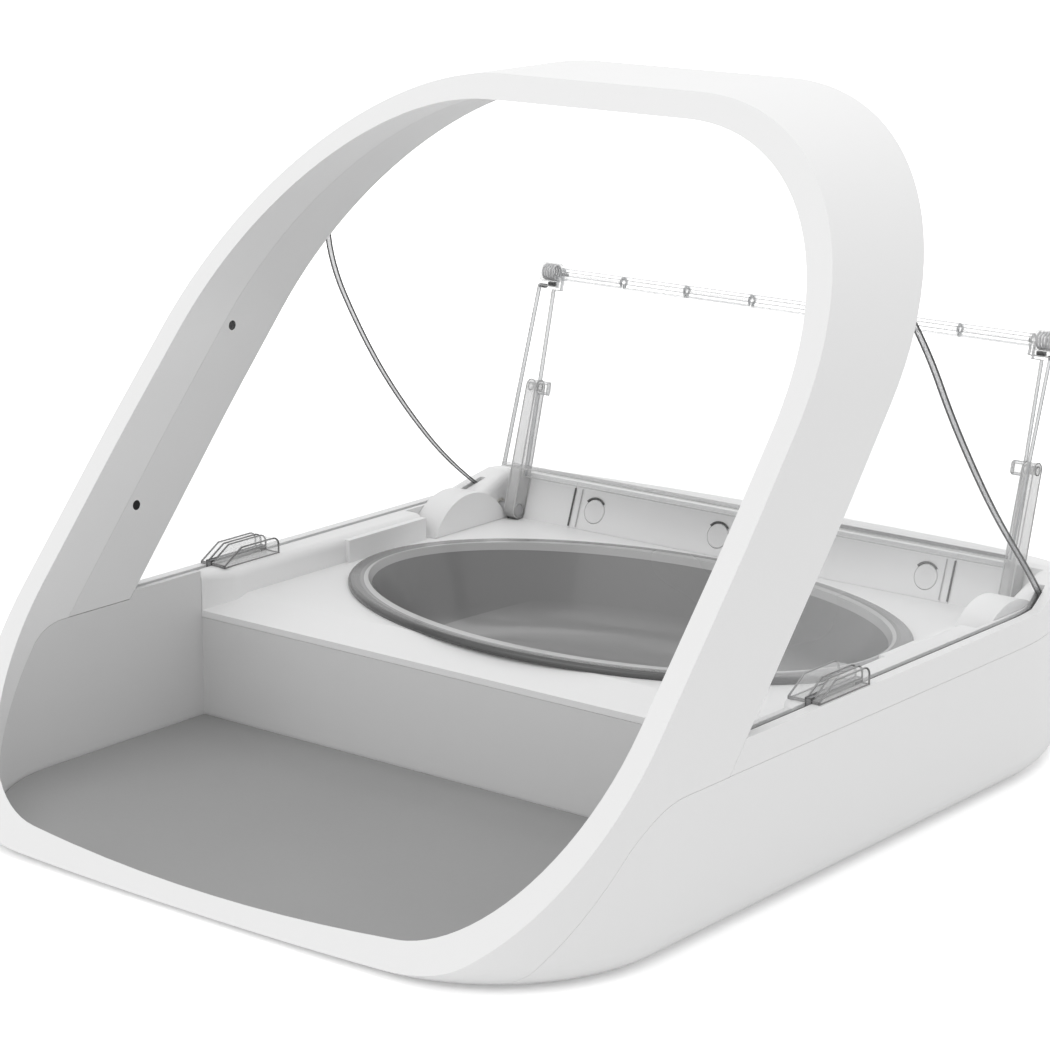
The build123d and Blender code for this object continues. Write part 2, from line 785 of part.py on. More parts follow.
with BuildPart() as deck:
    add(top_form)
    add(top_hollow, mode=Mode.SUBTRACT)
    hoop_side = slanted_band(-beyond, hoop_depth + part_gap, 0, overall_height)
    extrude(hoop_side, amount=beyond, both=True, mode=Mode.SUBTRACT)
    brick(
        (-half_width + hoop_band - tray_wall - part_gap, front - 1, 0),
        (half_width - hoop_band + tray_wall + part_gap, step_y, overall_height),
        Mode.SUBTRACT,
    )
    add(basin_block.part)
    add(basin.part, mode=Mode.SUBTRACT)
    rail_edges = edges().filter_by(lambda e: abs(abs(e.center().X) - deck_half_width) < part_gap)
    rail_tops = rail_edges.filter_by_position(Axis.Z, rail_height - part_gap, crest_height)
    fillet(rail_tops, min(rail_edge_radius, 0.4 * (rail_height - deck_height)))
    add(shaft_bearings.part)
    for side in (-1, 1):
        brick(
            (side * pad_inner, cover_front - rail_pad_length, deck_height - part_gap),
            (side * (deck_half_width + deck_thickness), cover_front, pad_high),
        )
        brick(
            (side * (deck_half_width - 2 * part_gap), cover_front, deck_height),
            (side * cover_cut, cover_rear + joint_gap, beyond),
            Mode.SUBTRACT,
        )
        add(arm_form(side, arm_relief), mode=Mode.SUBTRACT)
        bore_start = side * deck_half_width
        bore_end = side * (shaft_end + joint_gap)
        rod(bore_start, bore_end, pivot_y, pivot_z, shaft_radius + running_gap, Mode.SUBTRACT)
        rod(bore_start - side, bush_face * side, pivot_y, pivot_z, bush_radius, Mode.SUBTRACT)
    # the well that the bowl hangs in
    loft([
        oval(deck_height - deck_thickness, well_length + well_wall, well_depth + well_wall),
        oval(well_base - well_wall, well_foot_length, well_foot_depth),
    ])
    loft([
        oval(deck_height + 0.01, well_length, well_depth),
        oval(well_base, well_length - bowl_taper, well_depth - bowl_taper),
    ], mode=Mode.SUBTRACT)
    for x, y in post_places:
        boss_high = back_height(y) - wall / 2 if y > ledge_y else deck_height - deck_thickness / 4
        post(x, y, post_height + part_gap, boss_high, boss_radius)
        post(x, y, post_height, post_height + screw_thread, screw_radius + running_gap, Mode.SUBTRACT)
    with BuildSketch(ledge.offset(-panel_depth)):
        with Locations((0, crest_height / 2)):
            Rectangle(2 * panel_half_width, crest_height - part_gap)
    extrude(amount=2 * panel_depth, mode=Mode.SUBTRACT)
    with BuildSketch(ledge):
        with Locations([(x, button_height) for x in button_places]):
            Circle(button_radius + button_gap)
    extrude(amount=-2 * ledge_wall, mode=Mode.SUBTRACT)
    add(shield_grooves.part, mode=Mode.SUBTRACT)
    for side in (-1, 1):
        with BuildSketch(ledge.offset(-boss_depth)):
            with Locations((side * board_screw_place, board_screw_height)):
                Circle(board_boss_radius)
        extrude(amount=boss_depth - board_depth + part_gap)
        with BuildSketch(ledge.offset(-ledge_wall)):
            with Locations((side * board_screw_place, board_screw_height)):
                Circle(board_screw_radius + running_gap)
        extrude(amount=-board_depth, mode=Mode.SUBTRACT)
deck.part.label = "deck"
export_step(deck.part, "parts/deck.step")

# ---------------------------------------------------------------- bowl
with BuildPart() as bowl:
    loft([
        oval(deck_height + 1, rim_inner_length + bowl_wall, rim_inner_depth + bowl_wall),
        oval(bowl_base, rim_inner_length + bowl_wall - bowl_taper, rim_inner_depth + bowl_wall - bowl_taper),
    ])
    extrude(oval(deck_height + part_gap, bowl_half_length, bowl_half_depth), amount=bowl_rim_thickness)
    rim_edges = edges().filter_by(GeomType.ELLIPSE).group_by(Axis.Z)[-1]
    fillet(rim_edges.sort_by(Edge.length)[-1], bowl_rim_thickness * 0.7)
    loft([
        oval(deck_height + bowl_rim_thickness + 1, rim_inner_length + 0.5, rim_inner_depth + 0.5),
        oval(bowl_base + bowl_wall, rim_inner_length - bowl_taper, rim_inner_depth - bowl_taper),
    ], mode=Mode.SUBTRACT)
    floor_edge = edges().filter_by(GeomType.ELLIPSE).group_by(Axis.Z)[1]
    fillet(floor_edge, bowl_floor_radius)
    base_edge = edges().filter_by(GeomType.ELLIPSE).group_by(Axis.Z)[0]
    fillet(base_edge, bowl_floor_radius)
bowl.part.label = "bowl"
export_step(bowl.part, "parts/bowl.step")

# ---------------------------------------------------------------- covers over the ends of the lid drive
def gear_cover(side):
    """Half-round hollow cover that stands in a cut of one rail."""
    inner = side * (cover_inner_face + cover_wall)
    outer = side * (cover_outer_face - cover_wall)
    with BuildPart() as cover:
        rod(side * cover_inner_face, side * cover_outer_face, drive_y, drive_z, cover_radius)
        rod(inner, outer, drive_y, drive_z, cover_radius - cover_wall, Mode.SUBTRACT)
        brick((-half_width, front, 0), (half_width, back, deck_height + part_gap), Mode.SUBTRACT)
        tail = side * (deck_half_width - part_gap)
        brick((tail, cover_rear, 0), (side * half_width, back, overall_height), Mode.SUBTRACT)
    return cover.part


with BuildPart() as gear_cover_left:
    add(gear_cover(-1))
gear_cover_left.part.label = "gear_cover_left"
export_step(gear_cover_left.part, "parts/gear_cover_left.step")

with BuildPart() as gear_cover_right:
    add(gear_cover(1))
gear_cover_right.part.label = "gear_cover_right"
export_step(gear_cover_right.part, "parts/gear_cover_right.step")


# ---------------------------------------------------------------- side shields and their clips
shield_low = rail_height - shield_foot + 0.05
with BuildPart() as shield_pair:
    add(body_form(shield_low, shield_inset))
    add(body_form(shield_low - 1, shield_inset + shield_thickness), mode=Mode.SUBTRACT)
    with BuildSketch(Plane.YZ):
        with BuildLine():
            foot = (slant(shield_low, hoop_depth + shield_gap), shield_low)
            peak = (slant(shield_top_height, hoop_depth + shield_gap), shield_top_height)
            end = (shield_end_y, shield_end_height)
            Line(foot, peak)
            SagittaArc(peak, end, -shield_hollow)
            Polyline(end, (shield_end_y, shield_low), foot)
        make_face()
    extrude(amount=beyond, both=True, mode=Mode.INTERSECT)
    notch_top = rail_height + clip_wall + 2 * part_gap
    brick(
        (-half_width, clip_front - part_gap, 0),
        (half_width, clip_rear + part_gap, notch_top),
        Mode.SUBTRACT,
    )

with BuildPart() as side_shield_left:
    add(shield_pair.part)
    brick((0, front, 0), (half_width, back, overall_height), Mode.SUBTRACT)
side_shield_left.part.label = "side_shield_left"
export_step(side_shield_left.part, "parts/side_shield_left.step")

with BuildPart() as side_shield_right:
    add(shield_pair.part)
    brick((-half_width, front, 0), (0, back, overall_height), Mode.SUBTRACT)
side_shield_right.part.label = "side_shield_right"
export_step(side_shield_right.part, "parts/side_shield_right.step")


def shield_clip(side):
    """Block on the rail, sloped in front, whose slot grips the foot of a side shield."""
    outer = side * (half_width - clip_inset)
    low = rail_height + part_gap
    high = rail_height + clip_height
    slot_outer = side * (half_width - shield_inset + part_gap)
    slot_inner = side * (half_width - shield_inset - shield_thickness - part_gap)
    with BuildPart() as clip:
        with BuildSketch(Plane.YZ.offset(outer)):
            with BuildLine():
                Polyline(
                    (clip_front, low),
                    (clip_front, low + clip_nose),
                    (clip_front + clip_ramp, high),
                    (clip_rear, high),
                    (clip_rear, low),
                    close=True,
                )
            make_face()
        extrude(amount=-side * clip_width)
        fillet(edges().filter_by(Axis.X).group_by(Axis.Y)[-1].sort_by(Axis.Z)[-1], clip_round)
        brick((slot_outer, front, rail_height + clip_wall), (slot_inner, back, 2 * high), Mode.SUBTRACT)
    return clip.part


with BuildPart() as shield_clip_left:
    add(shield_clip(-1))
shield_clip_left.part.label = "shield_clip_left"
export_step(shield_clip_left.part, "parts/shield_clip_left.step")

with BuildPart() as shield_clip_right:
    add(shield_clip(1))
shield_clip_right.part.label = "shield_clip_right"
export_step(shield_clip_right.part, "parts/shield_clip_right.step")


# ---------------------------------------------------------------- folding lid
hinge_half_width = barrel_inner_face - barrel_gap
knuckle_pitch = 2 * hinge_half_width / knuckle_count
panel_head = lid_length - barrel_radius - 4 * barrel_gap
rear_low = joint_gap - panel_thickness
rear_high = joint_gap


def strip(plane, start, end, low, high):
    """Side view of a flat plate that lies along a plane's first axis."""
    with BuildSketch(plane) as side:
        with Locations(((start + end) / 2, (low + high) / 2)):
            Rectangle(end - start, high - low)
    return side.sketch


def knuckles(first, radius, shorten=0.0):
    """Every second knuckle of the fold hinge, counted from the left."""
    with BuildPart() as row:
        for number in range(first, knuckle_count, 2):
            left = number * knuckle_pitch - hinge_half_width
            rod(left + shorten, left + knuckle_pitch - shorten, fold_y, fold_z, radius)
    return row.part


def lid_arm(side):
    """Arm that carries the rear panel on the lid's shaft."""
    with BuildPart() as arm:
        add(arm_form(side))
        rod(-half_width, half_width, pivot_y, pivot_z, shaft_radius + running_gap, Mode.SUBTRACT)
        rod(-half_width, half_width, stud_spot.Y, stud_spot.Z, stud_radius + running_gap, Mode.SUBTRACT)
    return arm.part


with BuildPart() as lid_arm_left:
    add(lid_arm(-1))
lid_arm_left.part.label = "lid_arm_left"
export_step(lid_arm_left.part, "parts/lid_arm_left.step")

with BuildPart() as lid_arm_right:
    add(lid_arm(1))
lid_arm_right.part.label = "lid_arm_right"
export_step(lid_arm_right.part, "parts/lid_arm_right.step")

with BuildPart() as lid_rear_panel:
    plate = strip(lid_plane, panel_foot, panel_head, rear_low, rear_high)
    extrude(plate, amount=rear_panel_half_width, both=True)
    web = strip(lid_plane, panel_head - 1, lid_length, rear_low, rear_high)
    extrude(web, amount=hinge_half_width, both=True)
    add(knuckles(1, knuckle_radius + knuckle_gap), mode=Mode.SUBTRACT)
    add(knuckles(0, knuckle_radius, knuckle_gap / 2))
    rod(-half_width, half_width, fold_y, fold_z, rod_radius + running_gap, Mode.SUBTRACT)
    for side in (-1, 1):
        notch_x = side * (arm_inner_face - stud_reach - part_gap)
        notch_radius = stud_head_radius + joint_gap
        rod(notch_x, side * half_width, stud_spot.Y, stud_spot.Z, notch_radius, Mode.SUBTRACT)
lid_rear_panel.part.label = "lid_rear_panel"
export_step(lid_rear_panel.part, "parts/lid_rear_panel.step")

flap_low = -front_panel_shift - panel_thickness / 2
flap_high = flap_low + panel_thickness
with BuildPart() as lid_front_panel:
    plate = strip(fold_plane, barrel_radius + barrel_gap, fold_length, flap_low, flap_high)
    extrude(plate, amount=front_panel_half_width, both=True)
    web = strip(fold_plane, 0, barrel_radius + 1, flap_low, flap_high)
    extrude(web, amount=hinge_half_width, both=True)
    add(knuckles(0, knuckle_radius + knuckle_gap), mode=Mode.SUBTRACT)
    add(knuckles(1, knuckle_radius, knuckle_gap / 2))
    rod(-half_width, half_width, fold_y, fold_z, rod_radius + running_gap, Mode.SUBTRACT)
lid_front_panel.part.label = "lid_front_panel"
export_step(lid_front_panel.part, "parts/lid_front_panel.step")

# Thin soft strip slipped over the free edge of the front panel.
with BuildPart() as lid_edge_seal:
    cover_low = flap_low - seal_thickness
    cover_high = flap_high + seal_thickness
    edge_end = fold_length + seal_thickness
    seal_form = strip(fold_plane, edge_end - seal_height, edge_end, cover_low, cover_high)
    extrude(seal_form, amount=front_panel_half_width, both=True)
    slot = strip(fold_plane, 0, fold_length + running_gap, flap_low - running_gap, flap_high + running_gap)
    extrude(slot, amount=half_width, both=True, mode=Mode.SUBTRACT)
lid_edge_seal.part.label = "lid_edge_seal"
export_step(lid_edge_seal.part, "parts/lid_edge_seal.step")

with BuildPart() as hinge_rod:
    rod_end = barrel_outer_face - barrel_floor
    rod(-rod_end, rod_end, fold_y, fold_z, rod_radius)
hinge_rod.part.label = "hinge_rod"
export_step(hinge_rod.part, "parts/hinge_rod.step")


def barrel_tongue(side):
    """Flat tongue from a hinge barrel down to the head of the rear panel."""
    with BuildPart() as tongue:
        flat = strip(lid_plane, panel_head + part_gap, lid_length, rear_low, rear_high)
        extrude(flat, amount=half_width, both=True)
        brick(
            (side * barrel_inner_face, front, 0),
            (side * rear_panel_half_width, back, overall_height),
            Mode.INTERSECT,
        )
    return tongue.part


def hinge_barrel(side):
    """Round end housing of the fold hinge, with a tongue down to the rear panel."""
    bore = side * (barrel_inner_face + barrel_floor)
    bore_end = side * (barrel_outer_face - barrel_floor)
    with BuildPart() as barrel:
        rod(side * barrel_inner_face, side * barrel_outer_face, fold_y, fold_z, barrel_radius)
        fillet(edges().filter_by(GeomType.CIRCLE), barrel_round)
        add(barrel_tongue(side))
        rod(bore, bore_end, fold_y, fold_z, spring_radius + 2 * spring_wire, Mode.SUBTRACT)
        rod(0, bore_end + side * joint_gap, fold_y, fold_z, rod_radius + running_gap, Mode.SUBTRACT)
    return barrel.part


with BuildPart() as hinge_barrel_left:
    add(hinge_barrel(-1))
hinge_barrel_left.part.label = "hinge_barrel_left"
export_step(hinge_barrel_left.part, "parts/hinge_barrel_left.step")

with BuildPart() as hinge_barrel_right:
    add(hinge_barrel(1))
hinge_barrel_right.part.label = "hinge_barrel_right"
export_step(hinge_barrel_right.part, "parts/hinge_barrel_right.step")


def fold_spring(side):
    """Coil spring round the hinge rod, inside a hinge barrel, that opens the fold."""
    end_gap = barrel_floor + 2 * spring_wire
    start = side * (barrel_inner_face + end_gap)
    coil_length = barrel_width - 2 * end_gap
    pitch = coil_length / spring_turns
    with BuildPart() as spring:
        with BuildLine() as path:
            Helix(pitch, coil_length, spring_radius, (start, fold_y, fold_z), (side, 0, 0))
        with BuildSketch(Plane(origin=path.line @ 0, z_dir=path.line % 0)):
            Circle(spring_wire)
        sweep(is_frenet=True)
    return spring.part


with BuildPart() as fold_spring_left:
    add(fold_spring(-1))
fold_spring_left.part.label = "fold_spring_left"
export_step(fold_spring_left.part, "parts/fold_spring_left.step")

with BuildPart() as fold_spring_right:
    add(fold_spring(1))
fold_spring_right.part.label = "fold_spring_right"
export_step(fold_spring_right.part, "parts/fold_spring_right.step")

# Pins through the arms, with a rounded head on the inner end of each that holds the panel.
stud_start = arm_inner_face - stud_reach
head_end = stud_start + stud_head_length
with BuildPart() as lid_studs:
    for side in (-1, 1):
        rod(side * stud_start, side * head_end, stud_spot.Y, stud_spot.Z, stud_head_radius)
    fillet(edges().filter_by(GeomType.CIRCLE), stud_head_radius / 2)
    for side in (-1, 1):
        stud_end = side * (arm_inner_face + arm_thickness + 2 * part_gap)
        rod(side * (stud_start + 1), stud_end, stud_spot.Y, stud_spot.Z, stud_radius)
lid_studs.part.label = "lid_studs"
export_step(lid_studs.part, "parts/lid_studs.step")

with BuildPart() as lid_shafts:
    for side in (-1, 1):
        rod(side * (arm_inner_face + part_gap), side * shaft_end, pivot_y, pivot_z, shaft_radius)
lid_shafts.part.label = "lid_shafts"
export_step(lid_shafts.part, "parts/lid_shafts.step")

with BuildPart() as lid_bushes:
    for side in (-1, 1):
        bush_outer = side * (bush_face - part_gap)
        bush_inner = side * (deck_half_width + part_gap)
        rod(bush_inner, bush_outer, pivot_y, pivot_z, bush_radius - running_gap)
        rod(bush_inner, bush_outer, pivot_y, pivot_z, shaft_radius + running_gap, Mode.SUBTRACT)
lid_bushes.part.label = "lid_bushes"
export_step(lid_bushes.part, "parts/lid_bushes.step")


# ---------------------------------------------------------------- lid drive
def gear(teeth, x_start, width, y, z, phase):
    """Spur gear on a shaft along X, one tooth pointing in the phase direction."""
    pitch_radius = gear_module * teeth / 2
    root_radius = pitch_radius - gear_dedendum * gear_module
    tip_radius = pitch_radius + gear_addendum * gear_module
    half_pitch_width = gear_tooth_share * pi * gear_module / 2
    flank = tan(radians(pressure_angle)) * gear_module
    root_half = half_pitch_width + gear_dedendum * flank
    tip_half = half_pitch_width - gear_addendum * flank
    outline = []
    for number in range(teeth):
        turn = radians(phase + 360 * number / teeth)
        corners = (
            (root_radius, -root_half),
            (tip_radius, -tip_half),
            (tip_radius, tip_half),
            (root_radius, root_half),
        )
        for along, across in corners:
            across_y = -across * sin(turn)
            across_z = across * cos(turn)
            outline.append((along * cos(turn) + across_y, along * sin(turn) + across_z))
    with BuildPart() as wheel:
        with BuildSketch(Plane(origin=(x_start, y, z), x_dir=(0, 1, 0), z_dir=(1, 0, 0))):
            with BuildLine():
                Polyline(*outline, close=True)
            make_face()
        extrude(amount=width)
    return wheel.part


near_gears = -gear_face
far_gears = -outer_gear_face
hub_radius = small_teeth * gear_module / 2 - gear_dedendum * gear_module - 2 * joint_gap

with BuildPart() as lid_gear:
    lid_phase = lid_gear_direction + 180 + 180 / lid_teeth
    add(gear(lid_teeth, near_gears, gear_width, pivot_y, pivot_z, lid_phase))
    rod(near_gears - 1, 0, pivot_y, pivot_z, shaft_radius + running_gap, Mode.SUBTRACT)
lid_gear.part.label = "lid_gear"
export_step(lid_gear.part, "parts/lid_gear.step")

with BuildPart() as drive_wheel:
    add(gear(drive_teeth, near_gears, gear_width, drive_y, drive_z, lid_gear_direction))
    rod(near_gears - 1, 0, drive_y, drive_z, drive_axle_radius + running_gap, Mode.SUBTRACT)
drive_wheel.part.label = "drive_wheel"
export_step(drive_wheel.part, "parts/drive_wheel.step")

with BuildPart() as compound_gear:
    small_phase = small_gear_direction + 180 + 180 / small_teeth
    add(gear(small_teeth, near_gears, gear_width, compound_y, compound_z, small_phase))
    add(gear(large_teeth, far_gears, outer_gear_width, compound_y, compound_z, large_gear_direction))
    rod(far_gears, near_gears + gear_width, compound_y, compound_z, hub_radius)
    rod(-half_width, 0, compound_y, compound_z, axle_radius + running_gap, Mode.SUBTRACT)
compound_gear.part.label = "compound_gear"
export_step(compound_gear.part, "parts/compound_gear.step")

with BuildPart() as motor_pinion:
    pinion_phase = large_gear_direction + 180 + 180 / pinion_teeth
    add(gear(pinion_teeth, far_gears, outer_gear_width, motor_y, motor_z, pinion_phase))
    rod(-half_width, 0, motor_y, motor_z, motor_shaft_radius + running_gap, Mode.SUBTRACT)
motor_pinion.part.label = "motor_pinion"
export_step(motor_pinion.part, "parts/motor_pinion.step")

frame_inner_face = -deck_half_width
frame_end = -plate_face
frame_low = bottom + floor_wall + part_gap
frame_high = deck_height - deck_thickness - 2 * part_gap

with BuildPart() as gearbox_frame:
    brick(
        (frame_inner_face - frame_plate, drive_y - frame_front_reach, frame_low),
        (frame_inner_face, drive_y + frame_rear_reach, frame_high),
    )
    brick(
        (frame_end, drive_y - outer_plate_front_reach, frame_low + outer_plate_lift),
        (frame_end + outer_plate, drive_y + outer_plate_rear_reach, frame_high),
    )
    for reach, rise in frame_pillars:
        rod(frame_end, frame_inner_face, drive_y + reach, drive_z + rise, frame_pillar_radius)
    rod(-half_width, 0, drive_y, drive_z, drive_axle_radius + running_gap, Mode.SUBTRACT)
    rod(-half_width, 0, compound_y, compound_z, axle_radius + running_gap, Mode.SUBTRACT)
    rod(frame_end + outer_plate, 0, motor_y, motor_z, motor_nose_radius + part_gap, Mode.SUBTRACT)
gearbox_frame.part.label = "gearbox_frame"
export_step(gearbox_frame.part, "parts/gearbox_frame.step")

axle_start = frame_end + part_gap
axle_end = frame_inner_face + frame_pillar_radius / 3
with BuildPart() as gear_axles:
    rod(axle_start, axle_end, drive_y, drive_z, drive_axle_radius)
    rod(axle_start, axle_end, compound_y, compound_z, axle_radius)
gear_axles.part.label = "gear_axles"
export_step(gear_axles.part, "parts/gear_axles.step")

motor_front = frame_inner_face + part_gap
motor_rear = motor_front + motor_length
with BuildPart() as motor:
    rod(motor_front, motor_rear, motor_y, motor_z, motor_radius)
    fillet(edges().filter_by(GeomType.CIRCLE), motor_round)
    rod(motor_front - motor_nose_length, motor_front, motor_y, motor_z, motor_nose_radius)
    rod(motor_rear, motor_rear + motor_nose_length, motor_y, motor_z, motor_nose_radius)
    rod(-half_width, 0, motor_y, motor_z, motor_shaft_radius + running_gap, Mode.SUBTRACT)
motor.part.label = "motor"
export_step(motor.part, "parts/motor.step")

with BuildPart() as motor_shaft:
    shaft_tail = motor_rear + motor_nose_length + motor_shaft_proud
    rod(far_gears - part_gap, shaft_tail, motor_y, motor_z, motor_shaft_radius)
motor_shaft.part.label = "motor_shaft"
export_step(motor_shaft.part, "parts/motor_shaft.step")


# ---------------------------------------------------------------- controls on the rear ledge
wall_depth = ledge_wall * cos(radians(ledge_lean))

with BuildPart() as button_panel:
    with BuildSketch(ledge.offset(-panel_depth + part_gap)):
        with Locations((0, crest_height / 2 + part_gap)):
            Rectangle(2 * (panel_half_width - joint_gap), crest_height)
        with Locations([(x, button_height) for x in button_places]):
            Circle(button_radius + button_gap, mode=Mode.SUBTRACT)
    extrude(amount=panel_depth - part_gap)
    extrude(base_side(), amount=beyond, both=True, mode=Mode.INTERSECT)
button_panel.part.label = "button_panel"
export_step(button_panel.part, "parts/button_panel.step")


def push_button(x):
    """Round push button with a flange behind the ledge wall."""
    with BuildPart() as button:
        with BuildSketch(ledge.offset(button_proud)):
            with Locations((x, button_height)):
                Circle(button_radius)
        extrude(amount=-(button_proud + wall_depth + part_gap + button_flange))
        fillet(edges().filter_by(GeomType.CIRCLE).sort_by(Axis.Y)[0], button_round)
        with BuildSketch(ledge.offset(-wall_depth - part_gap)):
            with Locations((x, button_height)):
                Circle(button_radius + button_flange_width)
        extrude(amount=-button_flange)
    return button.part


with BuildPart() as button_left:
    add(push_button(button_places[0]))
button_left.part.label = "button_left"
export_step(button_left.part, "parts/button_left.step")

with BuildPart() as button_middle:
    add(push_button(button_places[1]))
button_middle.part.label = "button_middle"
export_step(button_middle.part, "parts/button_middle.step")

with BuildPart() as button_right:
    add(push_button(button_places[2]))
button_right.part.label = "button_right"
export_step(button_right.part, "parts/button_right.step")

with BuildPart() as circuit_board:
    with BuildSketch(ledge.offset(-board_depth)):
        with Locations((0, board_middle)):
            Rectangle(2 * board_half_width, board_high - board_low)
        for side in (-1, 1):
            with Locations((side * board_screw_place, board_screw_height)):
                Circle(board_screw_radius + running_gap, mode=Mode.SUBTRACT)
    extrude(amount=-board_thickness)
circuit_board.part.label = "circuit_board"
export_step(circuit_board.part, "parts/circuit_board.step")

with BuildPart() as tactile_switches:
    with BuildSketch(ledge.offset(part_gap - board_depth)):
        with Locations([(x, button_height) for x in button_places]):
            Rectangle(switch_size, switch_size)
    extrude(amount=switch_height)
    with BuildSketch(ledge.offset(part_gap - board_depth)):
        with Locations([(x, button_height) for x in button_places]):
            Circle(plunger_radius)
    extrude(amount=switch_height + plunger_height)
tactile_switches.part.label = "tactile_switches"
export_step(tactile_switches.part, "parts/tactile_switches.step")

board_rear = ledge.offset(-board_depth - board_thickness - part_gap)
connector_place = board_half_width - connector_inset
with BuildPart() as board_components:
    with BuildSketch(board_rear):
        with Locations((0, board_middle)):
            Rectangle(chip_size, chip_size)
    extrude(amount=-chip_height)
    with BuildSketch(board_rear):
        with Locations((-capacitor_spread, board_middle), (capacitor_spread, board_middle)):
            Circle(capacitor_radius)
    extrude(amount=-capacitor_height)
    with BuildSketch(board_rear):
        with Locations((-connector_place, board_middle), (connector_place, board_middle)):
            Rectangle(connector_length, connector_width)
    extrude(amount=-connector_width)
board_components.part.label = "board_components"
export_step(board_components.part, "parts/board_components.step")

with BuildPart() as board_screws:
    for side in (-1, 1):
        with BuildSketch(board_rear):
            with Locations((side * board_screw_place, board_screw_height)):
                Circle(2 * board_screw_radius)
        extrude(amount=-board_screw_head)
        with BuildSketch(board_rear):
            with Locations((side * board_screw_place, board_screw_height)):
                Circle(board_screw_radius)
        extrude(amount=board_screw_length)
board_screws.part.label = "board_screws"
export_step(board_screws.part, "parts/board_screws.step")

switch_x = -arm_inner_face
switch_y = ledge_y + lid_switch_setback
switch_top = deck_height - lid_switch_drop
lever_end = switch_x + lid_switch_width - lever_inset
with BuildPart() as lid_switch:
    brick(
        (switch_x, switch_y, switch_top - lid_switch_height),
        (switch_x + lid_switch_width, switch_y + lid_switch_depth, switch_top),
    )
    brick(
        (switch_x + lever_inset, switch_y - lever_reach, switch_top),
        (lever_end, switch_y + lid_switch_depth - 2 * lever_reach, switch_top + lever_thickness),
    )
lid_switch.part.label = "lid_switch"
export_step(lid_switch.part, "parts/lid_switch.step")

# ---------------------------------------------------------------- batteries
cell_front = bay_y + 2 * part_gap + contact_thickness
bay_centre = (bay_middle_wall + bay_width) / 2
cell_places = [side * (bay_centre + turn * cell_pitch / 2) for side in (-1, 1) for turn in (-1, 1)]
nub_y = cell_front + cell_length + cell_nub_length / 2

with BuildPart() as battery_cells:
    for x in cell_places:
        with Locations(Location((x, cell_front + cell_length / 2, cell_z), (90, 0, 0))):
            Cylinder(cell_radius, cell_length)
        with Locations(Location((x, nub_y, cell_z), (90, 0, 0))):
            Cylinder(cell_nub_radius, cell_nub_length)
battery_cells.part.label = "battery_cells"
export_step(battery_cells.part, "parts/battery_cells.step")

with BuildPart() as battery_contacts:
    for x in cell_places:
        for y in (bay_y + part_gap, bay_y + bay_length - part_gap - contact_thickness):
            brick(
                (x - contact_size / 2, y, cell_z - contact_size / 2),
                (x + contact_size / 2, y + contact_thickness, cell_z + contact_size / 2),
            )
battery_contacts.part.label = "battery_contacts"
export_step(battery_contacts.part, "parts/battery_contacts.step")


def battery_door(side):
    """Flat door in the floor, turning on two small pins at its front edge."""
    with BuildPart() as door:
        brick(
            (side * door_inner, hinge_y, bottom),
            (side * door_outer, door_rear, bottom + door_thickness),
        )
        rod(side * door_inner, side * door_outer, hinge_y, door_z, door_thickness / 2)
        pin_inner = side * (door_inner - door_gap - hinge_pin_reach)
        pin_outer = side * (door_outer + door_gap + hinge_pin_reach)
        rod(pin_inner, pin_outer, hinge_y, door_z, hinge_pin_radius)
        grip = side * (door_inner + door_outer) / 2
        grip_rear = door_rear - grip_setback
        brick(
            (grip - grip_half_width, grip_rear - grip_depth, bottom - 1),
            (grip + grip_half_width, grip_rear, bottom + door_thickness - grip_wall),
            Mode.SUBTRACT,
        )
    return door.part


with BuildPart() as battery_door_left:
    add(battery_door(-1))
battery_door_left.part.label = "battery_door_left"
export_step(battery_door_left.part, "parts/battery_door_left.step")

with BuildPart() as battery_door_right:
    add(battery_door(1))
battery_door_right.part.label = "battery_door_right"
export_step(battery_door_right.part, "parts/battery_door_right.step")

with BuildPart() as housing_screws:
    for x, y in post_places:
        head_low = head_seat - screw_head_height
        post(x, y, head_low, head_seat - running_gap, screw_head_radius)
        post(x, y, head_seat - 1, head_seat + screw_length, screw_radius)
        post(x, y, head_low - 1, head_low + screw_slot_depth, screw_slot_radius, Mode.SUBTRACT)
housing_screws.part.label = "housing_screws"
export_step(housing_screws.part, "parts/housing_screws.step")
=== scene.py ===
import math
import bpy
import bmesh
from mathutils import Matrix, Vector


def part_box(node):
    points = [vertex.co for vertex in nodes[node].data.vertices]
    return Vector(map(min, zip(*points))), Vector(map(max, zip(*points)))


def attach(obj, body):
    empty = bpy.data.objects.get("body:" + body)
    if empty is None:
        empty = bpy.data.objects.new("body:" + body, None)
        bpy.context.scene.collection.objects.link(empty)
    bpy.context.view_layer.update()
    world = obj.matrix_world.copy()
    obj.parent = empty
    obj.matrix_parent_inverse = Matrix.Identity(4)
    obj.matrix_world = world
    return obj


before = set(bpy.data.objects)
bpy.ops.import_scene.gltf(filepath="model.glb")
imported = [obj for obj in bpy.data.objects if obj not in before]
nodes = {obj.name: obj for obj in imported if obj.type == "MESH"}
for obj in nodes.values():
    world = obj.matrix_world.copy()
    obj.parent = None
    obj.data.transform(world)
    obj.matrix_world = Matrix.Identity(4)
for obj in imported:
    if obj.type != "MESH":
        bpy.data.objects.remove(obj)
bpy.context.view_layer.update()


# ---------------------------------------------------------------- outer hoop
# White hoop of the feeder: moulded in satin ABS plastic in one piece with its sloping
# front face. Its mould texture is very fine, with a little sink and polish here and there.


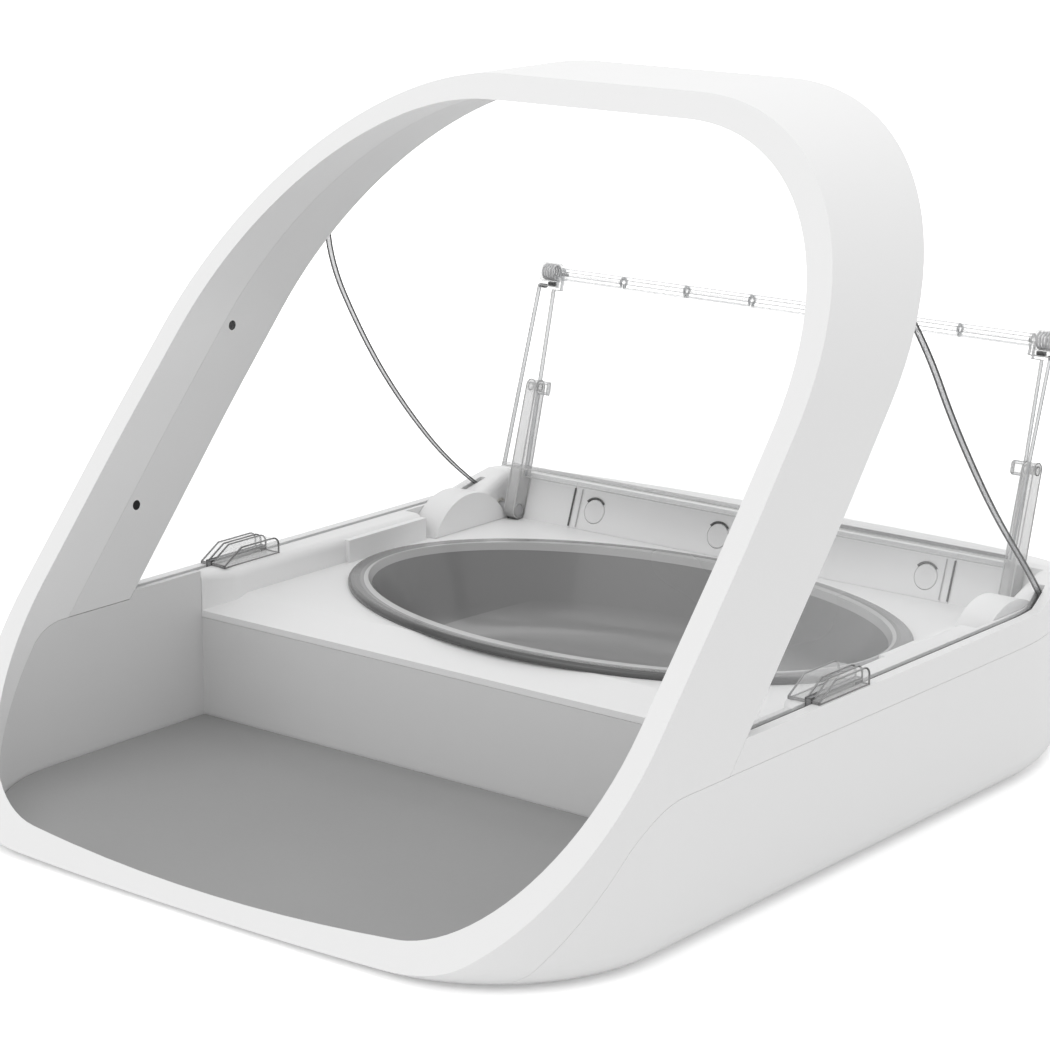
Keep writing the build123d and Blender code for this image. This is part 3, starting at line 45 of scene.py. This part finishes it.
class Socket:
    """A shader socket that takes part in sums: an expression adds its Math nodes."""

    def __init__(self, tree, socket):
        self.tree = tree
        self.socket = socket

    def maths(self, operation, first, second):
        node = self.tree.nodes.new("ShaderNodeMath")
        node.operation = operation
        for place, value in ((0, first), (1, second)):
            if isinstance(value, Socket):
                self.tree.links.new(value.socket, node.inputs[place])
            else:
                node.inputs[place].default_value = value
        return Socket(self.tree, node.outputs[0])

    def __add__(self, other):
        return self.maths("ADD", self, other)

    def __radd__(self, other):
        return self.maths("ADD", other, self)

    def __sub__(self, other):
        return self.maths("SUBTRACT", self, other)

    def __rsub__(self, other):
        return self.maths("SUBTRACT", other, self)

    def __mul__(self, other):
        return self.maths("MULTIPLY", self, other)

    def __rmul__(self, other):
        return self.maths("MULTIPLY", other, self)

    def __truediv__(self, other):
        return self.maths("DIVIDE", self, other)

    def __rtruediv__(self, other):
        return self.maths("DIVIDE", other, self)

    def __lt__(self, other):
        return self.maths("LESS_THAN", self, other)

    def __gt__(self, other):
        return self.maths("GREATER_THAN", self, other)


class Finish:
    """A material under construction, on one Principled shader."""

    def __init__(self, name, **fixed):
        self.material = bpy.data.materials.new(name)
        self.material.use_nodes = True
        self.tree = self.material.node_tree
        self.shader = self.tree.nodes["Principled BSDF"]
        for socket, value in fixed.items():
            self.shader.inputs[socket.replace("_", " ")].default_value = value
        self.place = self.node("ShaderNodeTexCoord", output="Object")

    def node(self, kind, settings=None, output=0, **inputs):
        """Adds a node with its settings, then its sockets' values or links."""
        node = self.tree.nodes.new(kind)
        for key, value in (settings or {}).items():
            setattr(node, key, value)
        for key, value in inputs.items():
            name = key.replace("_", " ")
            socket = node.inputs[int(key[1:])] if key[1:].isdigit() else node.inputs[name]
            if isinstance(value, Socket):
                self.tree.links.new(value.socket, socket)
            else:
                socket.default_value = value
        return Socket(self.tree, node.outputs[output])

    def noise(self, scale, detail=3.0, roughness=0.5):
        """Soft cloudy value from 0 to 1, with a stated number of patches in a metre."""
        return self.node(
            "ShaderNodeTexNoise", Vector=self.place, Scale=scale, Detail=detail, Roughness=roughness
        )

    def blend(self, share, first, second):
        """A colour between two colours, each given as three numbers or worked out."""
        pair = [colour if isinstance(colour, Socket) else (*colour, 1) for colour in (first, second)]
        return self.node("ShaderNodeMix", {"data_type": "RGBA"}, 2, i0=share, i6=pair[0], i7=pair[1])

    def bump(self, height, distance, strength=1.0):
        """A surface normal from a height between 0 and 1 and its real depth in metres."""
        return self.node("ShaderNodeBump", Height=height, Distance=distance, Strength=strength)

    def feed(self, **links):
        """Links worked-out values to the shader."""
        for key, value in links.items():
            self.tree.links.new(value.socket, self.shader.inputs[key.replace("_", " ")])

    def paint(self, *names):
        """Gives the finish to CAD nodes."""
        for name in names:
            for slot in nodes[name].material_slots:
                slot.material = self.material


def white_plastic(name, shade, gloss, grain_scale=2600.0):
    """Satin white moulding: a shade that drifts a little and a fine spark-eroded grain."""
    finish = Finish(name, IOR=1.5)
    drift = finish.noise(9.0, 2.0)
    grain = finish.noise(grain_scale, 2.0, 0.6)
    low = tuple(0.985 * part for part in shade)
    finish.feed(
        Base_Color=finish.blend(drift, low, shade),
        Roughness=gloss + 0.06 * drift + 0.05 * grain,
        Normal=finish.bump(grain, 0.00002, 0.5),
    )
    return finish


hoop_white = white_plastic("hoop_satin_white", (0.845, 0.845, 0.845), 0.36)
hoop_white.paint("hoop_shell")

# ---------------------------------------------------------------- white mouldings behind the hoop
# Liner, floor pan, tray, deck with its rear ledge, and rail covers: the same plastic in the
# same white, each from its own mould, so each has its own very small difference in gloss.
# The liner and the tray are made a darker white as painted shade inside the hoop.
# Darker white: painted shade on the liner inside the hoop.
liner_white_painted_shade = white_plastic("liner_satin_white_painted_shade", (0.78, 0.78, 0.78), 0.42)
liner_white_painted_shade.paint("hoop_liner")
pan_white = white_plastic("pan_satin_white", (0.845, 0.845, 0.845), 0.36)
pan_white.paint("lower_housing", "battery_door_left", "battery_door_right")
# Darker white: painted shade on the tray, down inside the hoop.
tray_white_painted_shade = white_plastic("tray_satin_white_painted_shade", (0.7, 0.7, 0.7), 0.42)
tray_white_painted_shade.paint("mat_tray")
deck_white = white_plastic("deck_satin_white", (0.84, 0.84, 0.84), 0.34)
deck_white.paint("deck", "gear_cover_left", "gear_cover_right", "button_panel")
button_white = white_plastic("button_satin_white", (0.8, 0.8, 0.8), 0.3)
button_white.paint("button_left", "button_middle", "button_right")

# ---------------------------------------------------------------- mat
# Loose mat of soft grey silicone rubber with a matt, finely pebbled top.
mat_rubber = Finish("mat_grey_silicone", IOR=1.45, Specular_IOR_Level=0.35)
mat_pebble = mat_rubber.noise(900.0, 2.0)
mat_cloud = mat_rubber.noise(14.0, 2.0)
mat_rubber.feed(
    Base_Color=mat_rubber.blend(mat_cloud, (0.30, 0.30, 0.30), (0.33, 0.33, 0.33)),
    Roughness=0.62 + 0.1 * mat_pebble,
    Normal=mat_rubber.bump(mat_pebble, 0.00006, 0.5),
)
mat_rubber.paint("mat")

# ---------------------------------------------------------------- bowl
# Loose oval bowl, moulded in tinted grey plastic with a polished inside. Its flange has
# painted shade in front, where it stands over its own shade, and a painted reflection at
# the back; its inner rim has a painted highlight line, and its floor is painted paler as
# painted light from above.
bowl_grey = Finish("bowl_tinted_grey", IOR=1.49, Coat_Roughness=0.08)
bowl_low, bowl_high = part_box("bowl")
bowl_middle = (bowl_low.y + bowl_high.y) / 2
bowl_half_length = bowl_high.x
bowl_half_depth = (bowl_high.y - bowl_low.y) / 2
bowl_rim = bowl_high.z - 0.0022
bowl_floor = bowl_low.z + 0.0125
floor_fade_depth = 0.007
across_bowl = bowl_grey.node("ShaderNodeSeparateXYZ", Vector=bowl_grey.place) / bowl_half_length
along_bowl = bowl_grey.node("ShaderNodeSeparateXYZ", Vector=bowl_grey.place, output=1) - bowl_middle
height = bowl_grey.node("ShaderNodeSeparateXYZ", Vector=bowl_grey.place, output=2)
oval = across_bowl * across_bowl + (along_bowl / bowl_half_depth) * (along_bowl / bowl_half_depth)
reach = oval.maths("POWER", oval, 0.5)
on_rim = height > bowl_rim
flange = on_rim * (reach > 0.955)
# Painted highlight: a paler line along the inner edge of the rim.
rim_painted_highlight = on_rim * (reach < 0.94)
# Painted light: the floor of the bowl is made paler, as lit from above.
floor_fade = bowl_grey.node(
    "ShaderNodeMapRange",
    i0=height,
    From_Min=bowl_floor - floor_fade_depth,
    From_Max=bowl_floor,
    To_Min=1.0,
    To_Max=0.0,
)
floor_painted_light = floor_fade * (reach < 0.8)
# Painted shade on the front of the flange, over the bowl's own shade, and a painted reflection at its
# back.
flange_painted_shade_to_reflection = bowl_grey.node("ShaderNodeMapRange", i0=along_bowl, From_Min=-0.05, From_Max=0.03)
bowl_cloud = bowl_grey.noise(11.0, 2.0)
wall_shade = bowl_grey.blend(bowl_cloud, (0.18, 0.18, 0.18), (0.21, 0.21, 0.21))
wall_with_painted_floor_light = bowl_grey.blend(floor_painted_light, wall_shade, (0.29, 0.29, 0.29))
painted_rim_shading = bowl_grey.blend(flange_painted_shade_to_reflection, (0.07, 0.07, 0.07), (0.25, 0.25, 0.25))
flange_shade = bowl_grey.blend(flange, wall_with_painted_floor_light, painted_rim_shading)
bowl_grain = bowl_grey.noise(420.0, 1.0)
bowl_grey.feed(
    Base_Color=bowl_grey.blend(rim_painted_highlight, flange_shade, (0.42, 0.42, 0.42)),
    Roughness=0.22 + 0.08 * bowl_cloud,
    Coat_Weight=0.25 + 0.1 * bowl_cloud,
    Normal=bowl_grey.bump(bowl_grain, 0.000004, 0.2),
)
bowl_grey.paint("bowl")

# ---------------------------------------------------------------- clear lid and side shields
# Sheets of clear styrene-acrylonitrile, moulded and polished. Light that enters a sheet
# leaves at its cut edges, so these are painted grey as painted shade while the faces are
# almost invisible.


def clear_sheet(name, facing, painted_edge_shade, face_cover=0.07, edge_cover=0.72):
    """Clear sheet whose large faces look one way; every narrow side counts as its edge, painted grey
    as painted shade.
    """
    finish = Finish(name, IOR=1.5, Specular_IOR_Level=0.6)
    own_normal = finish.node("ShaderNodeTexCoord", output="Normal")
    turned = {"operation": "DOT_PRODUCT"}
    across = finish.node("ShaderNodeVectorMath", turned, 1, i0=own_normal, i1=facing)
    squareness = across.maths("ABSOLUTE", across, 0.0)
    edge = 1 - finish.node(
        "ShaderNodeMapRange", i0=squareness, From_Min=0.35, From_Max=0.85, To_Min=0.0, To_Max=1.0
    )
    ripple = finish.noise(38.0, 2.0)
    finish.feed(
        Base_Color=finish.blend(edge, (0.93, 0.94, 0.95), painted_edge_shade),
        Roughness=0.05 + 0.03 * ripple,
        Alpha=face_cover + 0.015 * ripple + (edge_cover - face_cover) * edge,
    )
    return finish


shield_clear = clear_sheet("shield_clear_plastic", (1, 0, 0), (0.33, 0.33, 0.34))
shield_clear.paint("side_shield_left", "side_shield_right")
rear_panel_angle = 76.3
front_panel_angle = 251.9
lid_lean = math.radians(rear_panel_angle + 90)
flap_lean = math.radians(front_panel_angle + 90)
rear_facing = (0, math.cos(lid_lean), math.sin(lid_lean))
front_facing = (0, math.cos(flap_lean), math.sin(flap_lean))
rear_clear = clear_sheet("lid_rear_clear_plastic", rear_facing, (0.42, 0.43, 0.44))
rear_clear.paint("lid_rear_panel")
front_clear = clear_sheet("lid_front_clear_plastic", front_facing, (0.42, 0.43, 0.44))
front_clear.paint("lid_front_panel")

# ---------------------------------------------------------------- clear fittings
# Arms, hinge barrels, shield clips, hinge rod, studs and the lid's edge strip: thicker clear
# mouldings that look pale grey, with painted shade where the surface turns away.


def clear_fitting(name, face_shade, painted_rim_shading, cover):
    """Small clear moulding: paler faces and painted shade on the rims, by the angle of the surface."""
    finish = Finish(name, IOR=1.5, Specular_IOR_Level=0.6)
    rim = finish.node("ShaderNodeLayerWeight", output=1, Blend=0.35)
    cloud = finish.noise(90.0, 2.0)
    finish.feed(
        Base_Color=finish.blend(rim, face_shade, painted_rim_shading),
        Roughness=0.08 + 0.05 * cloud,
        Alpha=cover + 0.35 * rim,
    )
    return finish


arm_clear = clear_fitting("arm_clear_plastic", (0.72, 0.72, 0.72), (0.40, 0.40, 0.40), 0.4)
arm_clear.paint("lid_arm_left", "lid_arm_right")
barrel_clear = clear_fitting("barrel_clear_plastic", (0.86, 0.86, 0.86), (0.05, 0.05, 0.05), 0.12)
barrel_clear.paint("hinge_barrel_left", "hinge_barrel_right")
clip_clear = clear_fitting("clip_clear_plastic", (0.92, 0.92, 0.92), (0.75, 0.75, 0.75), 0.12)
clip_clear.paint("shield_clip_left", "shield_clip_right")
pin_clear = clear_fitting("pin_clear_plastic", (0.82, 0.82, 0.82), (0.40, 0.40, 0.40), 0.12)
pin_clear.paint("lid_studs", "hinge_rod", "lid_edge_seal")

# ---------------------------------------------------------------- painted shade along the borders of the clear pieces
# Light trapped in a clear moulding leaves along its sharp borders, which so look like thin
# dark lines. Each line is painted shade: a fine bar that lies along a sharp border of its clear piece.


def finished_piece(name, shape, finish, body):
    """A small piece from its shape, in its finish, moving with its body."""
    piece = bpy.data.objects.new(name, bpy.data.meshes.new(name))
    shape.to_mesh(piece.data)
    shape.free()
    piece.data.materials.append(finish.material)
    bpy.context.scene.collection.objects.link(piece)
    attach(piece, body)


hinge_low, hinge_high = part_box("hinge_rod")
hinge_middle = (hinge_low + hinge_high) / 2
knuckle_reach = 0.0045


def painted_border_shade_lines(name, source, body, width, finish, sharp=35.0):
    """Fine square bars of painted shade along a clear piece's sharp borders, but not at the fold's
    knuckles.
    """
    shape = bmesh.new()
    shape.from_mesh(nodes[source].data)
    shape.transform(nodes[source].matrix_world)
    bmesh.ops.remove_doubles(shape, verts=shape.verts, dist=0.000001)
    bars = bmesh.new()
    for border in shape.edges:
        start, end = (corner.co for corner in border.verts)
        near_fold = ((start + end) / 2 - hinge_middle).yz.length < knuckle_reach
        if near_fold or len(border.link_faces) != 2:
            continue
        if border.calc_face_angle(0.0) > math.radians(sharp):
            along = end - start
            turn = along.to_track_quat("Z", "Y").to_matrix().to_4x4()
            size = Matrix.Diagonal((width, width, along.length + 0.5 * width, 1))
            place = Matrix.Translation((start + end) / 2) @ turn @ size
            bmesh.ops.create_cube(bars, size=1, matrix=place)
    shape.free()
    finished_piece(name, bars, finish, body)


def line_finish(name, dark, light):
    """Dark grey line whose shade drifts along its length."""
    finish = Finish(name, IOR=1.5)
    drift = finish.noise(60.0, 2.0)
    finish.feed(Base_Color=finish.blend(drift, dark, light), Roughness=0.2 + 0.1 * drift)
    return finish


shield_painted_shade_line = line_finish("shield_border_painted_shade", (0.03, 0.03, 0.03), (0.14, 0.14, 0.14))
clip_painted_shade_line = line_finish("clip_border_painted_shade", (0.03, 0.03, 0.03), (0.45, 0.45, 0.45))
lid_painted_shade_line = line_finish("lid_border_painted_shade", (0.35, 0.35, 0.35), (0.72, 0.72, 0.72))
painted_border_shade_lines("shield_borders_left", "side_shield_left", "base", 0.0004, shield_painted_shade_line)
painted_border_shade_lines("shield_borders_right", "side_shield_right", "base", 0.0004, shield_painted_shade_line)
painted_border_shade_lines("clip_borders_left", "shield_clip_left", "base", 0.0004, clip_painted_shade_line)
painted_border_shade_lines("clip_borders_right", "shield_clip_right", "base", 0.0004, clip_painted_shade_line)
painted_border_shade_lines("rear_panel_borders", "lid_rear_panel", "lid", 0.00022, lid_painted_shade_line, 60.0)
painted_border_shade_lines("front_panel_borders", "lid_front_panel", "lid_flap", 0.00022, lid_painted_shade_line, 60.0)
painted_border_shade_lines("arm_borders_left", "lid_arm_left", "lid", 0.0003, lid_painted_shade_line, 60.0)
painted_border_shade_lines("arm_borders_right", "lid_arm_right", "lid", 0.0003, lid_painted_shade_line, 60.0)

# ---------------------------------------------------------------- stops under the hinge barrels
# Two small slots moulded through the clear foot of each barrel. They look black inside, so
# the shade in each is painted as a short dark bar, the outer one a little lower than the inner one.
stop_width = 0.0028
stop_height = 0.0012
stop_depth = 0.0012
stop_setback = 0.0012
stop_places = ((0.0030, 0.0022), (0.0069, 0.0012))
stop_painted_shade = line_finish("stop_slot_painted_shade", (0.005, 0.005, 0.005), (0.015, 0.015, 0.015))
for side, barrel in ((-1, "hinge_barrel_left"), (1, "hinge_barrel_right")):
    barrel_low, barrel_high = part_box(barrel)
    stops = bmesh.new()
    inner = min(abs(barrel_low.x), abs(barrel_high.x))
    stop_y = (barrel_low.y + barrel_high.y) / 2 - stop_setback
    for shift, rise in stop_places:
        spot = Vector((side * (inner + shift), stop_y, barrel_low.z + rise))
        size = Matrix.Diagonal((stop_width, stop_depth, stop_height, 1))
        bmesh.ops.create_cube(stops, size=1, matrix=Matrix.Translation(spot) @ size)
    finished_piece("stops_under_" + barrel, stops, stop_painted_shade, "lid")

# ---------------------------------------------------------------- painted shade in the seams and round the buttons on the ledge
# Painted shade in the narrow gaps at both ends of the button panel, each with a finer mould
# line beside it, and painted shadow in the deep upper part of the gap round each button:
# thin dark bars set in the leaning face.
ledge_lean = math.radians(19.7)
ledge_up = Vector((0, math.sin(ledge_lean), math.cos(ledge_lean)))
ledge_out = Vector((0, -math.cos(ledge_lean), math.sin(ledge_lean)))
ledge_turn = Matrix.Rotation(-ledge_lean, 4, "X")
button_radius = 0.004
face_flatness = 0.00002
ring_gap = 0.0001
ring_width = 0.0006
ring_back = -0.0004
ring_front = 0.00008
ring_angle = 100
ring_steps = 20
seam_foot = 0.0422
seam_lift = 0.0006
seam_length = 0.0128
seam_thickness = 0.00016
gap_painted_shade = line_finish("gap_painted_shade_grey", (0.06, 0.06, 0.06), (0.12, 0.12, 0.12))
mould_line = line_finish("mould_line_grey", (0.38, 0.38, 0.385), (0.50, 0.50, 0.505))


def button_face(node):
    """Middle of a button's outer face, from the corners that reach furthest out."""
    corners = [nodes[node].matrix_world @ corner.co for corner in nodes[node].data.vertices]
    furthest = max(corner.dot(ledge_out) for corner in corners)
    face = [corner for corner in corners if furthest - corner.dot(ledge_out) < face_flatness]
    low = Vector([min(corner[axis] for corner in face) for axis in range(3)])
    high = Vector([max(corner[axis] for corner in face) for axis in range(3)])
    return (low + high) / 2


# Painted shadow in the upper part of the gap round each button.
for button in ("button_left", "button_middle", "button_right"):
    ring = bmesh.new()
    middle = button_face(button)
    ring_start = middle + ledge_up * (button_radius + ring_gap)
    section = ((0, ring_back), (ring_width, ring_back), (ring_width, ring_front), (0, ring_front))
    profile = [ring.verts.new(ring_start + ledge_up * up + ledge_out * out) for up, out in section]
    borders = [ring.edges.new((profile[place], profile[(place + 1) % 4])) for place in range(4)]
    start_turn = Matrix.Rotation(math.radians(-ring_angle / 2), 3, ledge_out)
    bmesh.ops.rotate(ring, cent=middle, matrix=start_turn, verts=profile)
    bmesh.ops.spin(
        ring,
        geom=profile + borders,
        cent=middle,
        axis=ledge_out,
        angle=math.radians(ring_angle),
        steps=ring_steps,
    )
    bmesh.ops.recalc_face_normals(ring, faces=ring.faces)
    finished_piece(button + "_ring", ring, gap_painted_shade, "base")

panel_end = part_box("button_panel")[1].x
beside = button_face("button_left")
foot_y = beside.y - (beside.z - seam_foot) * math.tan(ledge_lean)
# Painted shade in the seams at both ends of the panel, with the mould lines beside them.
for name, inset, width, finish in (
    ("panel_seams", 0.0, 0.0006, gap_painted_shade),
    ("panel_mould_lines", 0.003, 0.0003, mould_line),
):
    seams = bmesh.new()
    for side in (-1, 1):
        foot = Vector((side * (panel_end - inset), foot_y, seam_foot))
        spot = foot + ledge_up * (seam_length / 2 + seam_lift)
        size = Matrix.Diagonal((width, seam_thickness, seam_length, 1))
        bmesh.ops.create_cube(seams, size=1, matrix=Matrix.Translation(spot) @ ledge_turn @ size)
    finished_piece(name, seams, finish, "base")

# ---------------------------------------------------------------- feet
# Four glued feet of black thermoplastic rubber.
black_rubber = Finish("black_soft_rubber", IOR=1.45, Specular_IOR_Level=0.3)
rubber_grain = black_rubber.noise(1500.0, 2.0)
black_rubber.feed(
    Base_Color=black_rubber.blend(rubber_grain, (0.03, 0.03, 0.03), (0.05, 0.05, 0.05)),
    Roughness=0.6 + 0.15 * rubber_grain,
    Normal=black_rubber.bump(rubber_grain, 0.00004, 0.5),
)
black_rubber.paint("rubber_feet")

# ---------------------------------------------------------------- light-beam windows and switches
# Small round windows of black, infrared-clear polycarbonate, and the moulded switch bodies.
black_gloss = Finish("black_gloss_plastic", IOR=1.58)
gloss_grain = black_gloss.noise(700.0, 2.0)
black_gloss.feed(
    Base_Color=black_gloss.blend(gloss_grain, (0.012, 0.012, 0.013), (0.02, 0.02, 0.021)),
    Roughness=0.1 + 0.08 * gloss_grain,
)
black_gloss.paint("sensor_windows", "tactile_switches", "board_components", "lid_switch")

# ---------------------------------------------------------------- gears, frame and bushes
# Lid drive behind the left rail: natural acetal gears in a frame of the same plastic.
acetal = Finish("natural_acetal", IOR=1.48)
acetal_grain = acetal.noise(600.0, 2.0)
acetal.feed(
    Base_Color=acetal.blend(acetal_grain, (0.70, 0.69, 0.64), (0.76, 0.75, 0.70)),
    Roughness=0.35 + 0.1 * acetal_grain,
)
acetal.paint("lid_gear", "drive_wheel", "compound_gear", "motor_pinion", "gearbox_frame", "lid_bushes")

# ---------------------------------------------------------------- metal parts
# Turned steel rods, shafts and axles, zinc-plated screws, and the motor's drawn can.
steel = Finish("turned_steel", Metallic=1.0)
turning = steel.node("ShaderNodeTexWave", {"bands_direction": "X"}, Vector=steel.place, Scale=900.0)
steel_cloud = steel.noise(120.0, 2.0)
steel.feed(
    Base_Color=steel.blend(steel_cloud, (0.46, 0.46, 0.47), (0.58, 0.58, 0.59)),
    Roughness=0.26 + 0.08 * steel_cloud + 0.05 * turning,
)
steel.paint(
    "fold_spring_left", "fold_spring_right", "lid_shafts", "gear_axles", "motor",
    "motor_shaft", "battery_contacts", "housing_screws", "board_screws",
)

# ---------------------------------------------------------------- aerial, board and cells
# Enamelled copper winding, glass-fibre board with green solder mask, and film-wrapped cells.
copper = Finish("enamelled_copper", Metallic=1.0)
strands = copper.node("ShaderNodeTexWave", {"bands_direction": "Y"}, Vector=copper.place, Scale=800.0)
copper.feed(
    Base_Color=copper.blend(strands, (0.45, 0.19, 0.10), (0.72, 0.36, 0.20)),
    Roughness=0.25 + 0.15 * strands,
)
copper.paint("antenna_coil")
solder_mask = Finish("green_solder_mask", IOR=1.55)
tracks = solder_mask.node(
    "ShaderNodeTexVoronoi", {"distance": "MANHATTAN"}, Vector=solder_mask.place, Scale=260.0
)
solder_mask.feed(
    Base_Color=solder_mask.blend(tracks, (0.02, 0.16, 0.07), (0.04, 0.26, 0.12)),
    Roughness=0.25 + 0.1 * tracks,
)
solder_mask.paint("circuit_board")
cell_film = Finish("cell_printed_film", IOR=1.5)
band = cell_film.node("ShaderNodeSeparateXYZ", Vector=cell_film.place, output=1)
film_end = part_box("battery_cells")[0].y + 0.012
cell_film.feed(
    Base_Color=cell_film.blend(band < film_end, (0.05, 0.05, 0.055), (0.55, 0.36, 0.16)),
    Roughness=0.3 + 0.1 * cell_film.noise(300.0),
)
cell_film.paint("battery_cells")

# ---------------------------------------------------------------- floor
# Plain white table that takes the feeder's soft shadow. It shines a little for the camera
# alone, more with distance, so that it stays white and lights nothing.
floor_reach = 3.0
floor_mesh = bmesh.new()
bmesh.ops.create_grid(floor_mesh, x_segments=1, y_segments=1, size=floor_reach)
floor = bpy.data.objects.new("floor", bpy.data.meshes.new("floor"))
floor_mesh.to_mesh(floor.data)
floor_mesh.free()
bpy.context.scene.collection.objects.link(floor)
floor_white = Finish("floor_white", Emission_Strength=1.0)
floor_cloud = floor_white.noise(3.0, 1.0)
looked_at = floor_white.node("ShaderNodeLightPath")
far_off = floor_white.node("ShaderNodeVectorMath", {"operation": "LENGTH"}, 1, i0=floor_white.place)
fade_start = 0.25
fade_end = 0.7
fade = floor_white.node(
    "ShaderNodeMapRange", i0=far_off, From_Min=fade_start, From_Max=fade_end, To_Min=0.3
)
floor_white.feed(
    Base_Color=floor_white.blend(floor_cloud, (0.93, 0.93, 0.93), (0.94, 0.94, 0.94)),
    Roughness=0.8 + 0.1 * floor_cloud,
    Emission_Color=floor_white.blend(looked_at * fade, (0, 0, 0), (1, 1, 1)),
)
floor.data.materials.append(floor_white.material)

# ---------------------------------------------------------------- light and camera
# Large soft lamps round the feeder, an even white surrounding, and the camera.
world = bpy.data.worlds.new("surroundings")
bpy.context.scene.world = world
world.use_nodes = True
sky = world.node_tree.nodes["Background"]
sky_level = 0.72
light_path = world.node_tree.nodes.new("ShaderNodeLightPath")
seen = Socket(world.node_tree, light_path.outputs["Is Camera Ray"])
mirrored = Socket(world.node_tree, light_path.outputs["Is Glossy Ray"])
through = Socket(world.node_tree, light_path.outputs["Is Transmission Ray"])
shown = seen.maths("MAXIMUM", seen.maths("MAXIMUM", seen, mirrored), through)
level = shown * (1 - sky_level) + sky_level
world.node_tree.links.new(level.socket, sky.inputs["Strength"])
sky.inputs["Color"].default_value = (1, 1, 1, 1)


def soft_lamp(name, place, aim, size, power):
    """Square soft box that points at a spot."""
    lamp = bpy.data.lights.new(name, "AREA")
    lamp.size = size
    lamp.energy = power
    holder = bpy.data.objects.new(name, lamp)
    holder.location = place
    holder.rotation_euler = (Vector(aim) - Vector(place)).to_track_quat("-Z", "Y").to_euler()
    bpy.context.scene.collection.objects.link(holder)


soft_lamp("key_box", (-0.5, -1.3, 1.25), (0, 0, 0.05), 1.2, 4.6)
soft_lamp("top_box", (0.1, 0.3, 1.5), (0, 0, 0), 1.4, 7.0)

camera_place = (0.5582, -0.7104, 0.3080)
camera_tilt = 75.47
camera_turn = 38.932
camera_lens = 109.14
camera_sensor = 36.0
camera = bpy.data.objects.new("camera", bpy.data.cameras.new("camera"))
camera.data.lens = camera_lens
camera.data.sensor_width = camera_sensor
camera.location = camera_place
camera.rotation_euler = (math.radians(camera_tilt), 0, math.radians(camera_turn))
bpy.context.scene.collection.objects.link(camera)
bpy.context.scene.camera = camera
bpy.context.scene.view_settings.view_transform = "Standard"
